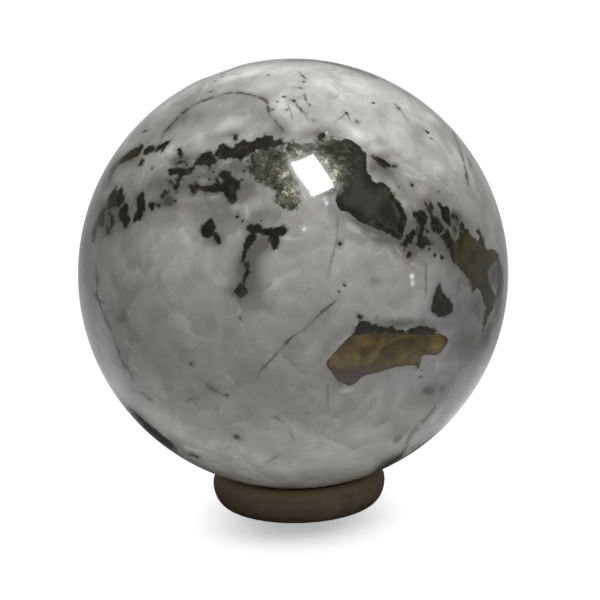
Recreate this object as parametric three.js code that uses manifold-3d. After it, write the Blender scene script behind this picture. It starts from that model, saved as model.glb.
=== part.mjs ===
// A polished sphere of pale feldspar with black and golden-brown inclusions, resting in a low turned
// wooden ring. The stone isn't fastened: it lies in the ring's dished seat under its own weight.
// Millimetres, +Z up. The origin is on the table, at the centre of the ring's foot.

import * as THREE from "three";
import { mergeVertices } from "three/addons/utils/BufferGeometryUtils.js";
import Module from "manifold-3d";

const wasm = await Module();
wasm.setup();

// Stone
const SPHERE_DIAMETER = 100;
const SPHERE_BASE_CLEARANCE = 5.1; // from the table up to the stone's lowest point
const CHIP_DIAMETER = 10; // shallow shell-shaped chip, high on the stone's left
const CHIP_DEPTH = 1.1;
const CHIP_LATITUDE = 71; // degrees above the stone's equator
const CHIP_LONGITUDE = 163; // degrees round from +X towards +Y

// Ring stand
const BORE_DIAMETER = 27;
const SEAT_WIDTH = 3.5; // dished band that the stone lies in, measured outwards
const SEAT_GAP = 0.2; // between the seat and the stone
const RIM_LAND = 0.4; // narrow flat on top, outside the seat
const BULGE = 3.1; // how far the side stands out past the rim
const UPPER_ROUND = 3; // height of the round above the ring's widest line
const FOOT_TUCK = 3; // how far the side draws in from the widest line to the foot
const FOOT_CHAMFER = 0.7; // breaks the edge between the foot and the bore

// Fineness of the facets
const SPHERE_DETAIL = 14; // cuts along each edge of the icosahedron behind the sphere
const RING_SEGMENTS = 72;
const ARC_STEPS = 6; // straight steps in each rounded stretch of the ring's profile
const CHIP_SEGMENTS = 24;

const sphereRadius = SPHERE_DIAMETER / 2;
const sphereCentreHeight = SPHERE_BASE_CLEARANCE + sphereRadius;

const boreRadius = BORE_DIAMETER / 2;
const seatRadius = sphereRadius + SEAT_GAP;
const rimInnerRadius = boreRadius + SEAT_WIDTH;
const rimOuterRadius = rimInnerRadius + RIM_LAND;
const widestRadius = rimOuterRadius + BULGE;
const footRadius = widestRadius - FOOT_TUCK;
const ringHeight = seatHeight(rimInnerRadius);
const widestHeight = ringHeight - UPPER_ROUND;

// Height of the dished seat at a distance from the axis: a shell round the stone, one gap away from it.
function seatHeight(radius) {
  return sphereCentreHeight - Math.sqrt(seatRadius ** 2 - radius ** 2);
}

// Quarter of an ellipse about a centre, from one angle to another, as profile points.
function ellipseArc(centreRadius, centreHeight, radialSize, heightSize, fromDeg, toDeg) {
  const points = [];
  for (let i = 0; i <= ARC_STEPS; i += 1) {
    const angle = THREE.MathUtils.degToRad(fromDeg + ((toDeg - fromDeg) * i) / ARC_STEPS);
    points.push(
      new THREE.Vector2(
        centreRadius + radialSize * Math.cos(angle),
        centreHeight + heightSize * Math.sin(angle),
      ),
    );
  }
  return points;
}

// The ring's section, from the foot outwards, over the rim and down the bore, back to where it began.
function ringProfile() {
  const foot = [new THREE.Vector2(boreRadius + FOOT_CHAMFER, 0)];
  const lowerRound = ellipseArc(footRadius, widestHeight, FOOT_TUCK, widestHeight, -90, 0);
  const upperRound = ellipseArc(rimOuterRadius, widestHeight, BULGE, UPPER_ROUND, 0, 90).slice(1);
  const seat = [];
  for (let i = 0; i <= ARC_STEPS; i += 1) {
    const radius = rimInnerRadius - (SEAT_WIDTH * i) / ARC_STEPS;
    seat.push(new THREE.Vector2(radius, seatHeight(radius)));
  }
  const bore = [new THREE.Vector2(boreRadius, FOOT_CHAMFER)];
  return [...foot, ...lowerRound, ...upperRound, ...seat, ...bore, foot[0].clone()];
}

// A closed geometry as a solid that can be cut.
function toSolid(geometry) {
  const bare = geometry.clone();
  bare.deleteAttribute("normal");
  bare.deleteAttribute("uv");
  const merged = mergeVertices(bare, 1e-3);
  const index = merged.index.array;
  return new wasm.Manifold(
    new wasm.Mesh({
      numProp: 3,
      vertProperties: Float32Array.from(merged.attributes.position.array),
      triVerts: Uint32Array.from(index),
    }),
  );
}

// A cut solid as a geometry again.
function toGeometry(solid) {
  const mesh = solid.getMesh();
  const geometry = new THREE.BufferGeometry();
  geometry.setAttribute("position", new THREE.BufferAttribute(mesh.vertProperties, 3));
  geometry.setIndex(new THREE.BufferAttribute(mesh.triVerts, 1));
  geometry.computeVertexNormals();
  return geometry;
}

// Radius of the ball that leaves a chip of the given width and depth in a larger ball: the depth is the
// sum of both balls' rises over the chip's half width.
function chipBallRadius() {
  const halfWidth = CHIP_DIAMETER / 2;
  const stoneRise = sphereRadius - Math.sqrt(sphereRadius ** 2 - halfWidth ** 2);
  const cutRise = CHIP_DEPTH - stoneRise;
  return (halfWidth ** 2 + cutRise ** 2) / (2 * cutRise);
}

function makeStone() {
  const ball = toSolid(new THREE.IcosahedronGeometry(sphereRadius, SPHERE_DETAIL));
  const cutRadius = chipBallRadius();
  const latitude = THREE.MathUtils.degToRad(CHIP_LATITUDE);
  const longitude = THREE.MathUtils.degToRad(CHIP_LONGITUDE);
  const outwards = new THREE.Vector3(
    Math.cos(latitude) * Math.cos(longitude),
    Math.cos(latitude) * Math.sin(longitude),
    Math.sin(latitude),
  );
  const cutGeometry = new THREE.SphereGeometry(cutRadius, CHIP_SEGMENTS, CHIP_SEGMENTS / 2);
  const cutCentre = outwards.multiplyScalar(sphereRadius - CHIP_DEPTH + cutRadius);
  cutGeometry.translate(cutCentre.x, cutCentre.y, cutCentre.z);
  const stone = new THREE.Mesh(
    toGeometry(ball.subtract(toSolid(cutGeometry))),
    new THREE.MeshStandardMaterial({ color: 0xa9a7a2, roughness: 0.12, metalness: 0 }),
  );
  stone.name = "stone_sphere";
  stone.position.z = sphereCentreHeight;
  return stone;
}

function makeRing() {
  const geometry = new THREE.LatheGeometry(ringProfile(), RING_SEGMENTS);
  geometry.rotateX(Math.PI / 2); // the lathe turns about Y, and the ring stands along Z
  const ring = new THREE.Mesh(
    geometry,
    new THREE.MeshStandardMaterial({ color: 0x5a4a38, roughness: 0.55, metalness: 0 }),
  );
  ring.name = "ring_stand";
  return ring;
}

const ornament = new THREE.Group();
ornament.add(makeRing(), makeStone());

export default ornament;
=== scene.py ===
# %% [markdown]
# A polished feldspar sphere on a turned wooden ring.
# The object is two pieces: a solid ball of stone, and the low ring that it lies in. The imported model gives
# their real size and place, and this lesson gives them their surfaces. It works in metres, as the frame
# does, and describes the marks in the stone in millimetres, as a stone cutter would.

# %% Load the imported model
import math

import bpy
import numpy as np
from mathutils import Matrix, Vector


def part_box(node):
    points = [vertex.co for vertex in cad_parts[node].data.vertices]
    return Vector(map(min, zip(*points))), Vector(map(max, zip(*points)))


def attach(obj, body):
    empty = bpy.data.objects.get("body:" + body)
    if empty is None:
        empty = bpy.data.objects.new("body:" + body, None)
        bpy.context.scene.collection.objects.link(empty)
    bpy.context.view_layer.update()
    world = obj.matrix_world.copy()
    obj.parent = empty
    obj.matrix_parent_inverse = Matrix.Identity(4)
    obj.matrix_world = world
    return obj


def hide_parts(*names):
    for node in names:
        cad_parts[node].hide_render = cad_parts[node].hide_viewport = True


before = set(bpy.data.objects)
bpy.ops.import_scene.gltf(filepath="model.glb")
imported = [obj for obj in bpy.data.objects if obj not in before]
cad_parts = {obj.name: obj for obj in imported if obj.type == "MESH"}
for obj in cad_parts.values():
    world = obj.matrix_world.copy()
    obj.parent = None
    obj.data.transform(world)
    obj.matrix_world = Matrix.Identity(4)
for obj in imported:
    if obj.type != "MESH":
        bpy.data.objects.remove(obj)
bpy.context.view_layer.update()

MM = 0.001  # one millimetre, in metres
stone_low, stone_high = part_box("stone_sphere")
ring_low, ring_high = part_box("ring_stand")
print("stone", [round(v / MM, 2) for v in stone_high - stone_low], "mm")
print("ring", [round(v / MM, 2) for v in ring_high - ring_low], "mm")

# %% [markdown]
# The ball has one chip, high on the left, so its box is a hair smaller than the ball on that side. The
# radius is therefore a named size, and the print below shows how well it agrees with the frame.

# %% Size and place of the ball
STONE_RADIUS = 50 * MM
STONE_CENTRE = Vector((0, 0, 55.1 * MM))
CHIP_LATITUDE = math.radians(71)
CHIP_LONGITUDE = math.radians(163)
CHIP_WIDTH = 10 * MM
CHIP_DEPTH = 1.1 * MM
top_error = STONE_CENTRE.z + STONE_RADIUS - stone_high.z
print("ball's top against the frame's:", round(top_error / MM, 3), "mm")

# %% [markdown]
# The camera comes before the surfaces, because the marks in the stone are laid out in the photograph's own
# frame of 600 by 600 pixels. A long lens stands well back and looks a little down. It is aimed slightly off
# the ball, so that the ball lands where the photograph has it without any lens shift.

# %% Camera at the photograph's angle
IMAGE_SIZE = 600
BALL_CENTRE_PX = (293.2, 274.0)
BALL_RADIUS_PX = 215.2
LOOK_DOWN = math.radians(12.4)
CAMERA_ROLL = math.radians(-1.62)
CAMERA_DISTANCE = 450 * MM
SENSOR_WIDTH = 36

focal_px = BALL_RADIUS_PX / math.tan(math.asin(STONE_RADIUS / CAMERA_DISTANCE))
towards_camera = Vector((0, -math.cos(LOOK_DOWN), math.sin(LOOK_DOWN)))
level = (-towards_camera).to_track_quat("-Z", "Y").to_matrix() @ Matrix.Rotation(CAMERA_ROLL, 3, "Z")
ball_in_view = Vector((BALL_CENTRE_PX[0] - IMAGE_SIZE / 2, IMAGE_SIZE / 2 - BALL_CENTRE_PX[1], -focal_px))
aim = ball_in_view.rotation_difference(Vector((0, 0, -1))).to_matrix()
camera = bpy.data.objects.new("camera", bpy.data.cameras.new("camera"))
camera.data.sensor_width = SENSOR_WIDTH
camera.data.lens = focal_px * SENSOR_WIDTH / IMAGE_SIZE
camera_place = STONE_CENTRE + towards_camera * CAMERA_DISTANCE
camera_turn = level @ aim
camera.matrix_world = Matrix.Translation(camera_place) @ camera_turn.to_4x4()
bpy.context.scene.collection.objects.link(camera)
bpy.context.scene.camera = camera
print("lens", round(camera.data.lens, 1), "mm")


# %% From a place on the stone to a pixel, and back
def to_pixels(points):
    """Where points in metres, one in each row, land in the photograph's frame."""
    turned = (points - np.array(camera_place)) @ np.array(camera_turn)
    across = IMAGE_SIZE / 2 - focal_px * turned[:, 0] / turned[:, 2]
    down = IMAGE_SIZE / 2 + focal_px * turned[:, 1] / turned[:, 2]
    return np.stack([across, down], axis=1)


def on_stone(x, y):
    """The ray through a pixel, and the point where it first meets the ball."""
    ray = camera_turn @ Vector((x - IMAGE_SIZE / 2, IMAGE_SIZE / 2 - y, -focal_px))
    ray.normalize()
    nearest = (STONE_CENTRE - camera_place).dot(ray)
    miss = (camera_place + ray * nearest - STONE_CENTRE).length
    return ray, camera_place + ray * (nearest - math.sqrt(max(STONE_RADIUS**2 - miss**2, 0)))


print("ball's centre lands on", to_pixels(np.array([STONE_CENTRE]))[0].round(1))

# %% [markdown]
# Node trees are long to build by hand, so one small class carries a socket and lets plain arithmetic add
# the Math nodes. It serves the geometry trees and the materials alike. Vectors have their own methods,
# because a Math node would turn a vector or a colour into one grey number.


# %% A value travelling through a node tree
class Wire:
    """One socket of a node tree. Arithmetic on it adds Math nodes to the same tree."""

    def __init__(self, tree, socket=None):
        self.tree = tree
        self.socket = socket

    def node(self, kind, output=0, settings=None, inputs=None):
        """Adds a node: its settings come first, then its sockets, by name or by number."""
        made = self.tree.nodes.new(kind)
        for name, value in (settings or {}).items():
            if name == "stops":
                self.set_stops(made.color_ramp, value)
            else:
                setattr(made, name, value)
        for name, value in (inputs or {}).items():
            if isinstance(value, Wire):
                self.tree.links.new(value.socket, made.inputs[name])
            else:
                made.inputs[name].default_value = value
        return Wire(self.tree, made.outputs[output])

    @staticmethod
    def set_stops(ramp, stops):
        """A ramp starts with two stops, so only the further ones are added."""
        for index, (place, colour) in enumerate(stops):
            stop = ramp.elements[index] if index < 2 else ramp.elements.new(place)
            stop.position = place
            stop.color = (*colour, 1)

    def math(self, operation, *values):
        return self.node("ShaderNodeMath", 0, {"operation": operation}, dict(enumerate(values)))

    def vector(self, operation, *values, output=0):
        return self.node("ShaderNodeVectorMath", output, {"operation": operation}, dict(enumerate(values)))

    def scaled(self, factor):
        return self.node("ShaderNodeVectorMath", 0, {"operation": "SCALE"}, {0: self, "Scale": factor})

    def part(self, axis):
        """One number of a vector or a colour."""
        return self.node("ShaderNodeSeparateXYZ", axis, inputs={0: self})

    def __add__(self, other):
        return self.math("ADD", self, other)

    def __radd__(self, other):
        return self.math("ADD", other, self)

    def __sub__(self, other):
        return self.math("SUBTRACT", self, other)

    def __rsub__(self, other):
        return self.math("SUBTRACT", other, self)

    def __mul__(self, other):
        return self.math("MULTIPLY", self, other)

    def __truediv__(self, other):
        return self.math("DIVIDE", self, other)

    def __abs__(self):
        return self.math("ABSOLUTE", self)


# %% [markdown]
# Both pieces follow a rule: the ring is one section turned round an axis, and the stone is a ball with a
# shell-shaped chip. Geometry Nodes suit that, because the rule stays readable and its sizes are named
# inputs. Each tree is run once, and its result is kept as a plain mesh.

# %% Running a geometry tree
SOCKET_KINDS = {int: "NodeSocketInt", float: "NodeSocketFloat", tuple: "NodeSocketVector"}


def geometry_tree(name, sizes):
    """A new tree with the named sizes as inputs, and those inputs as wires."""
    tree = bpy.data.node_groups.new(name, "GeometryNodeTree")
    tree.interface.new_socket("Geometry", in_out="OUTPUT", socket_type="NodeSocketGeometry")
    tree.interface.new_socket("Geometry", in_out="INPUT", socket_type="NodeSocketGeometry")
    tree.interface.new_socket("Material", in_out="INPUT", socket_type="NodeSocketMaterial")
    for label, value in sizes.items():
        tree.interface.new_socket(label, in_out="INPUT", socket_type=SOCKET_KINDS[type(value)])
    entry = tree.nodes.new("NodeGroupInput")
    return tree, {socket.name: Wire(tree, socket) for socket in entry.outputs if socket.name}


def remember(geometry, name, value, kind, domain):
    """Keeps a value on the mesh under a name, before its points are moved."""
    return geometry.node(
        "GeometryNodeStoreNamedAttribute",
        settings={"data_type": kind, "domain": domain},
        inputs={"Geometry": geometry, "Name": name, "Value": value},
    )


def close_tree(tree, geometry, material):
    """Ends a tree: instances are made real, and the finish is set."""
    real = geometry.node("GeometryNodeRealizeInstances", inputs={"Geometry": geometry})
    done = real.node("GeometryNodeSetMaterial", inputs={"Geometry": real, "Material": material})
    leave = tree.nodes.new("NodeGroupOutput")
    tree.links.new(done.socket, leave.inputs[0])


def grown(name, start, tree, sizes, material):
    """A plain object from a start mesh, a tree and its sizes."""
    piece = bpy.data.objects.new(name, start)
    bpy.context.scene.collection.objects.link(piece)
    modifier = piece.modifiers.new(tree.name, "NODES")
    modifier.node_group = tree
    for item in tree.interface.items_tree:
        if item.name in sizes:
            modifier[item.identifier] = sizes[item.name]
        if item.name == "Material":
            modifier[item.identifier] = material
    depsgraph = bpy.context.evaluated_depsgraph_get()
    evaluated = piece.evaluated_get(depsgraph)
    result = bpy.data.meshes.new_from_object(evaluated, preserve_all_data_layers=True, depsgraph=depsgraph)
    piece.modifiers.clear()
    piece.data = result
    result.name = name
    result.shade_smooth()
    print(name, len(result.vertices), "points,", len(result.polygons), "faces")
    return piece


# %% [markdown]
# The ring was turned on a lathe from one dark wood blank: a flat foot, a round swelling side, a narrow rim
# and a dished seat that matches the ball. Its section is drawn once as a closed line of corners and arcs,
# and the tree bends a flat grid along it and round the axis. Very shallow grooves stay where the tool ran.

# %% The ring's section
BORE_RADIUS = 13.5 * MM
SEAT_WIDTH = 3.5 * MM
SEAT_GAP = 0.2 * MM
RIM_LAND = 0.4 * MM
UPPER_ROUND = 3 * MM
FOOT_TUCK = 3 * MM
FOOT_CHAMFER = 0.7 * MM
ARC_STEPS = 24
widest_radius = ring_high.x
rim_inner = BORE_RADIUS + SEAT_WIDTH
rim_outer = rim_inner + RIM_LAND


def seat_height(radius):
    """Height of the dished seat: a shell round the ball, one gap away from it."""
    return STONE_CENTRE.z - math.sqrt((STONE_RADIUS + SEAT_GAP) ** 2 - radius**2)


def quarter(centre, height, across, up, start):
    """A quarter of an ellipse, from a start angle in degrees, anticlockwise in the section."""
    angles = [math.radians(start + 90 * step / ARC_STEPS) for step in range(ARC_STEPS + 1)]
    return [(centre + across * math.cos(a), height + up * math.sin(a)) for a in angles]


def ring_section():
    """Corners of the closed section, as radius and height, from the foot outwards and over the rim."""
    waist = seat_height(rim_inner) - UPPER_ROUND
    lower = quarter(widest_radius - FOOT_TUCK, waist, FOOT_TUCK, waist, -90)
    upper = quarter(rim_outer, waist, widest_radius - rim_outer, UPPER_ROUND, 0)
    radii = [rim_inner - SEAT_WIDTH * step / ARC_STEPS for step in range(ARC_STEPS + 1)]
    seat = [(radius, seat_height(radius)) for radius in radii]
    return [(BORE_RADIUS + FOOT_CHAMFER, 0), *lower, *upper, *seat, (BORE_RADIUS, FOOT_CHAMFER)]


section = ring_section()
section_mesh = bpy.data.meshes.new("ring_section")
section_mesh.from_pydata(
    [(radius, height, 0) for radius, height in section],
    [(i, (i + 1) % len(section)) for i in range(len(section))],
    [],
)
print("section of", len(section), "corners")

# %% The lathe
LATHE_SIZES = {
    "Steps round": 288,
    "Steps along": 150,
    "Groove depth": 0.01 * MM,
    "Groove pitch": 0.45 * MM,
    "Weld distance": 0.0001 * MM,
}


def lathe_tree():
    """The section, swept once round the axis as a closed grid."""
    tree, size = geometry_tree("lathe", LATHE_SIZES)
    here = Wire(tree)
    section_curve = here.node("GeometryNodeMeshToCurve", inputs={"Mesh": size["Geometry"]})
    counts = {"Vertices X": size["Steps round"] + 1, "Vertices Y": size["Steps along"] + 1}
    grid = here.node("GeometryNodeMeshGrid", inputs={"Size X": 1.0, "Size Y": 1.0, **counts})
    share = here.vector("ADD", here.node("GeometryNodeInputPosition"), (0.5, 0.5, 0.0))
    grid = remember(grid, "OFBake", share, "FLOAT2", "CORNER")
    along = {"Curves": section_curve, "Factor": share.part("Y")}
    corner = here.node("GeometryNodeSampleCurve", "Position", {"mode": "FACTOR"}, along)
    run = here.node("GeometryNodeSampleCurve", "Tangent", {"mode": "FACTOR"}, along)
    length = here.node("GeometryNodeCurveLength", inputs={"Curve": section_curve})
    wave = here.math("SINE", share.part("Y") * length / size["Groove pitch"] * math.tau)
    groove = wave * size["Groove depth"]
    radius = corner.part("X") + run.part("Y") * groove
    height = corner.part("Y") - run.part("X") * groove
    angle = share.part("X") * math.tau
    place = here.node(
        "ShaderNodeCombineXYZ",
        inputs={
            0: radius * here.math("COSINE", angle),
            1: radius * here.math("SINE", angle),
            2: height,
        },
    )
    turned = here.node("GeometryNodeSetPosition", inputs={"Geometry": grid, "Position": place})
    welded = here.node(
        "GeometryNodeMergeByDistance", inputs={"Geometry": turned, "Distance": size["Weld distance"]}
    )
    close_tree(tree, welded, size["Material"])
    return tree


wood = bpy.data.materials.new("stained_turned_wood")
ring = grown("turned_ring", section_mesh, lathe_tree(), LATHE_SIZES, wood)

# %% [markdown]
# The stone starts as a cube whose faces are cut into a grid, because a swollen cube has even faces all over
# and no poles. Each point is pushed out to the ball, then the whole grid is drawn together towards the
# photographed side, so that the marks there are held more finely. A ball-shaped cutter takes the chip out.

# %% The ball
chip_outwards = Vector(
    (
        math.cos(CHIP_LATITUDE) * math.cos(CHIP_LONGITUDE),
        math.cos(CHIP_LATITUDE) * math.sin(CHIP_LONGITUDE),
        math.sin(CHIP_LATITUDE),
    )
)
half_chip = CHIP_WIDTH / 2
cut_rise = CHIP_DEPTH - STONE_RADIUS + math.sqrt(STONE_RADIUS**2 - half_chip**2)
cutter_radius = (half_chip**2 + cut_rise**2) / (2 * cut_rise)
BALL_SIZES = {
    "Cuts": 128,
    "Gathering": 0.66,
    "Radius": STONE_RADIUS,
    "Centre": tuple(STONE_CENTRE),
    "Cutter radius": cutter_radius,
    "Cutter centre": tuple(STONE_CENTRE + chip_outwards * (STONE_RADIUS - CHIP_DEPTH + cutter_radius)),
}
PHOTOGRAPHED_SIDE = (0.0, -1.0, 0.0)


def ball_tree():
    """A gridded cube, swollen to a ball, gathered towards one side and chipped."""
    tree, size = geometry_tree("ball", BALL_SIZES)
    here = Wire(tree)
    counts = {f"Vertices {axis}": size["Cuts"] + 1 for axis in "XYZ"}
    cube = here.node("GeometryNodeMeshCube", inputs={"Size": (2.0, 2.0, 2.0), **counts})
    corner = here.node("GeometryNodeInputPosition")
    cube = remember(cube, "cube", corner, "FLOAT_VECTOR", "POINT")
    even = here.vector("TANGENT", corner.scaled(math.pi / 4))
    outwards = here.vector("NORMALIZE", even)
    towards = here.vector("DOT_PRODUCT", outwards, PHOTOGRAPHED_SIDE, output="Value")
    squared = size["Gathering"] * size["Gathering"]
    near = towards + 1
    far = (1 - towards) * squared
    pole = here.node("ShaderNodeCombineXYZ", inputs=dict(enumerate(PHOTOGRAPHED_SIDE)))
    sideways = here.vector("SUBTRACT", outwards, pole.scaled(towards))
    sideways = sideways.scaled(size["Gathering"] * 2 / (near + far))
    gathered = here.vector("ADD", sideways, pole.scaled((near - far) / (near + far)))
    ball = here.vector("ADD", gathered.scaled(size["Radius"]), size["Centre"])
    from_cutter = here.vector("SUBTRACT", ball, size["Cutter centre"])
    reach = here.vector("LENGTH", from_cutter, output="Value")
    pushed = from_cutter.scaled(here.math("MAXIMUM", reach, size["Cutter radius"]) / reach)
    place = here.vector("ADD", pushed, size["Cutter centre"])
    chipped = here.node("GeometryNodeSetPosition", inputs={"Geometry": cube, "Position": place})
    close_tree(tree, chipped, size["Material"])
    return tree


feldspar = bpy.data.materials.new("polished_feldspar")
stone = grown("feldspar_ball", bpy.data.meshes.new("empty_start"), ball_tree(), BALL_SIZES, feldspar)


# %% Reading and keeping values on the mesh
def read_values(items, name, width, kind=np.float32):
    """One value or vector for each item of a mesh, as a row."""
    flat = np.empty(len(items) * width, kind)
    items.foreach_get(name, flat)
    return flat.reshape(-1, width) if width > 1 else flat


def keep_values(mesh, name, values):
    """Keeps a number or a vector for each point, for the material to read."""
    is_number = values.ndim == 1
    kept = mesh.attributes.new(name, "FLOAT" if is_number else "FLOAT_VECTOR", "POINT")
    kept.data.foreach_set("value" if is_number else "vector", values.astype(np.float32).ravel())


# %% The ball's own map
MAP_MARGIN = 0.006


def unfold_cube(mesh):
    """Lays the six faces of the cube side by side, three across and two up, as the ball's UV map."""
    cube = read_values(mesh.attributes["cube"].data, "vector", 3)
    corners = cube[read_values(mesh.loops, "vertex_index", 1, np.int32)].reshape(-1, 4, 3)
    middle = corners.mean(axis=1)
    axis = np.abs(middle).argmax(axis=1)
    rows = np.arange(len(axis))
    outer = np.sign(middle[rows, axis])
    side = 2 * axis + (outer > 0)
    first = corners[rows[:, None], np.arange(4), ((axis + 1) % 3)[:, None]] * outer[:, None]
    second = corners[rows[:, None], np.arange(4), ((axis + 2) % 3)[:, None]]
    inset = (np.stack([first, second], axis=2) + 1) / 2 * (1 - 2 * MAP_MARGIN) + MAP_MARGIN
    cell = np.stack([side % 3, side // 3], axis=1)[:, None, :]
    layer = mesh.uv_layers.new(name="OFBake")
    layer.data.foreach_set("uv", ((inset + cell) / (3, 2)).astype(np.float32).ravel())
    mesh.attributes.remove(mesh.attributes["cube"])


unfold_cube(stone.data)
places = read_values(stone.data.vertices, "co", 3).astype(float)
outwards = (places - np.array(STONE_CENTRE)) / STONE_RADIUS
print("map", stone.data.uv_layers[0].name)

# %% [markdown]
# The stone's marks are flush with the polish, so they are drawn and not modelled. A picture can't be used,
# and a picture would also smear. Instead each mark is a distance: every point of the mesh knows how far it
# is from the nearest grain, patch or crack, and the material turns that distance into a crisp, uneven edge.
# A canvas is a flat map of one side of the ball that such marks are drawn on. The front one is the
# photograph's frame. Past its edge a mark slowly closes, so that it ends softly round the side.


# %% A canvas
FAR = 99.0  # millimetres, for spots that a mark doesn't concern
NEAR_REACH = 14.0  # canvas units round a mark in which it is worked out
EDGE_SLOPE = 0.4  # how fast a mark closes past the canvas's edge
EDGE_FADE = 9.0  # millimetres over which a cloud fades there


class Canvas:
    """A flat map of one side of the ball, with its marks as distances in millimetres."""

    def __init__(self, spots, unit, past_edge):
        self.spots = spots
        self.unit = unit
        self.past_edge = past_edge

    def near(self, dabs):
        """Which spots lie near a line. The others needn't be worked out."""
        line = np.array(dabs)[:, :2]
        above = self.spots > line.min(axis=0) - NEAR_REACH
        below = self.spots < line.max(axis=0) + NEAR_REACH
        return (above & below).all(axis=1)

    def nearest(self, dabs, tapered=False):
        """Distance to a line of dabs (x, y, half width), which side of it, and its half width there."""
        near = self.near(dabs)
        spots = self.spots[near]
        distance = np.full(len(spots), np.inf)
        side = np.zeros(len(spots))
        width = np.zeros(len(spots))
        for start, end in zip(dabs, dabs[1:] or dabs):
            run = np.subtract(end[:2], start[:2])
            offset = spots - start[:2]
            free_share = offset @ run / max(run @ run, 1e-9)
            share = np.clip(free_share, 0, 1)
            gap = np.linalg.norm(offset - share[:, None] * run, axis=1)
            half_width = start[2] + share * (end[2] - start[2])
            if tapered:
                half_width -= np.abs(free_share - share) * math.hypot(*run)
            closer = gap < distance
            distance = np.where(closer, gap, distance)
            side = np.where(closer, np.sign(offset[:, 0] * run[1] - offset[:, 1] * run[0]), side)
            width = np.where(closer, half_width, width)
        everywhere = np.zeros((3, len(self.spots)))
        everywhere[0] = FAR
        everywhere[:, near] = distance * self.unit, side, width * self.unit
        return everywhere

    def stroke(self, *dabs):
        """Signed distance to the edge of a stroke, negative inside it."""
        distance, _, width = self.nearest(dabs)
        return distance - width + EDGE_SLOPE * self.past_edge

    def outline(self, *corners):
        """Signed distance to the edge of a closed outline with softened corners, negative inside it."""
        line = rounded(corners)
        closed = [(x, y, 0) for x, y in [*line, line[0]]]
        distance = self.nearest(closed)[0]
        near = self.near(closed)
        x, y = self.spots[near].T
        inside = np.zeros(len(x), bool)
        for (x0, y0, _), (x1, y1, _) in zip(closed, closed[1:]):
            if y0 != y1:
                inside ^= ((y0 > y) != (y1 > y)) & (x < (x1 - x0) * (y - y0) / (y1 - y0) + x0)
        distance[near] = np.where(inside, -distance[near], distance[near])
        return distance + EDGE_SLOPE * self.past_edge

    def cloud(self, x, y, across, up, lean=0):
        """A soft round patch, one in the middle and fading to nothing."""
        turn = math.radians(lean)
        offset = self.spots - (x, y)
        first = (offset[:, 0] * math.cos(turn) + offset[:, 1] * math.sin(turn)) / across
        second = (offset[:, 1] * math.cos(turn) - offset[:, 0] * math.sin(turn)) / up
        return np.exp(-(first**2) - second**2 - (self.past_edge / EDGE_FADE) ** 2)


def rounded(corners):
    """Cuts the corners of a closed outline twice."""
    for _ in range(2):
        following = [*corners[1:], corners[0]]
        pairs = list(zip(corners, following))
        corners = [
            (x0 + (x1 - x0) * share, y0 + (y1 - y0) * share)
            for (x0, y0), (x1, y1) in pairs
            for share in (0.25, 0.75)
        ]
    return corners


# %% The two canvases
rim_depth = STONE_RADIUS / CAMERA_DISTANCE
front = Canvas(
    to_pixels(places),
    STONE_RADIUS / BALL_RADIUS_PX / MM,
    np.maximum(0, rim_depth - outwards @ np.array(towards_camera)) * STONE_RADIUS / MM,
)
BACK_REACH = math.radians(94)
off_axis = np.arccos(np.clip(outwards[:, 1], -1, 1))
spread = off_axis / np.maximum(np.sin(off_axis), 1e-6) * STONE_RADIUS / MM
back = Canvas(
    np.stack([-outwards[:, 0] * spread, -outwards[:, 2] * spread], axis=1),
    1.0,
    np.maximum(0, off_axis - BACK_REACH) * STONE_RADIUS / MM,
)
print("one pixel is", round(front.unit, 3), "mm on the stone")
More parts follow.
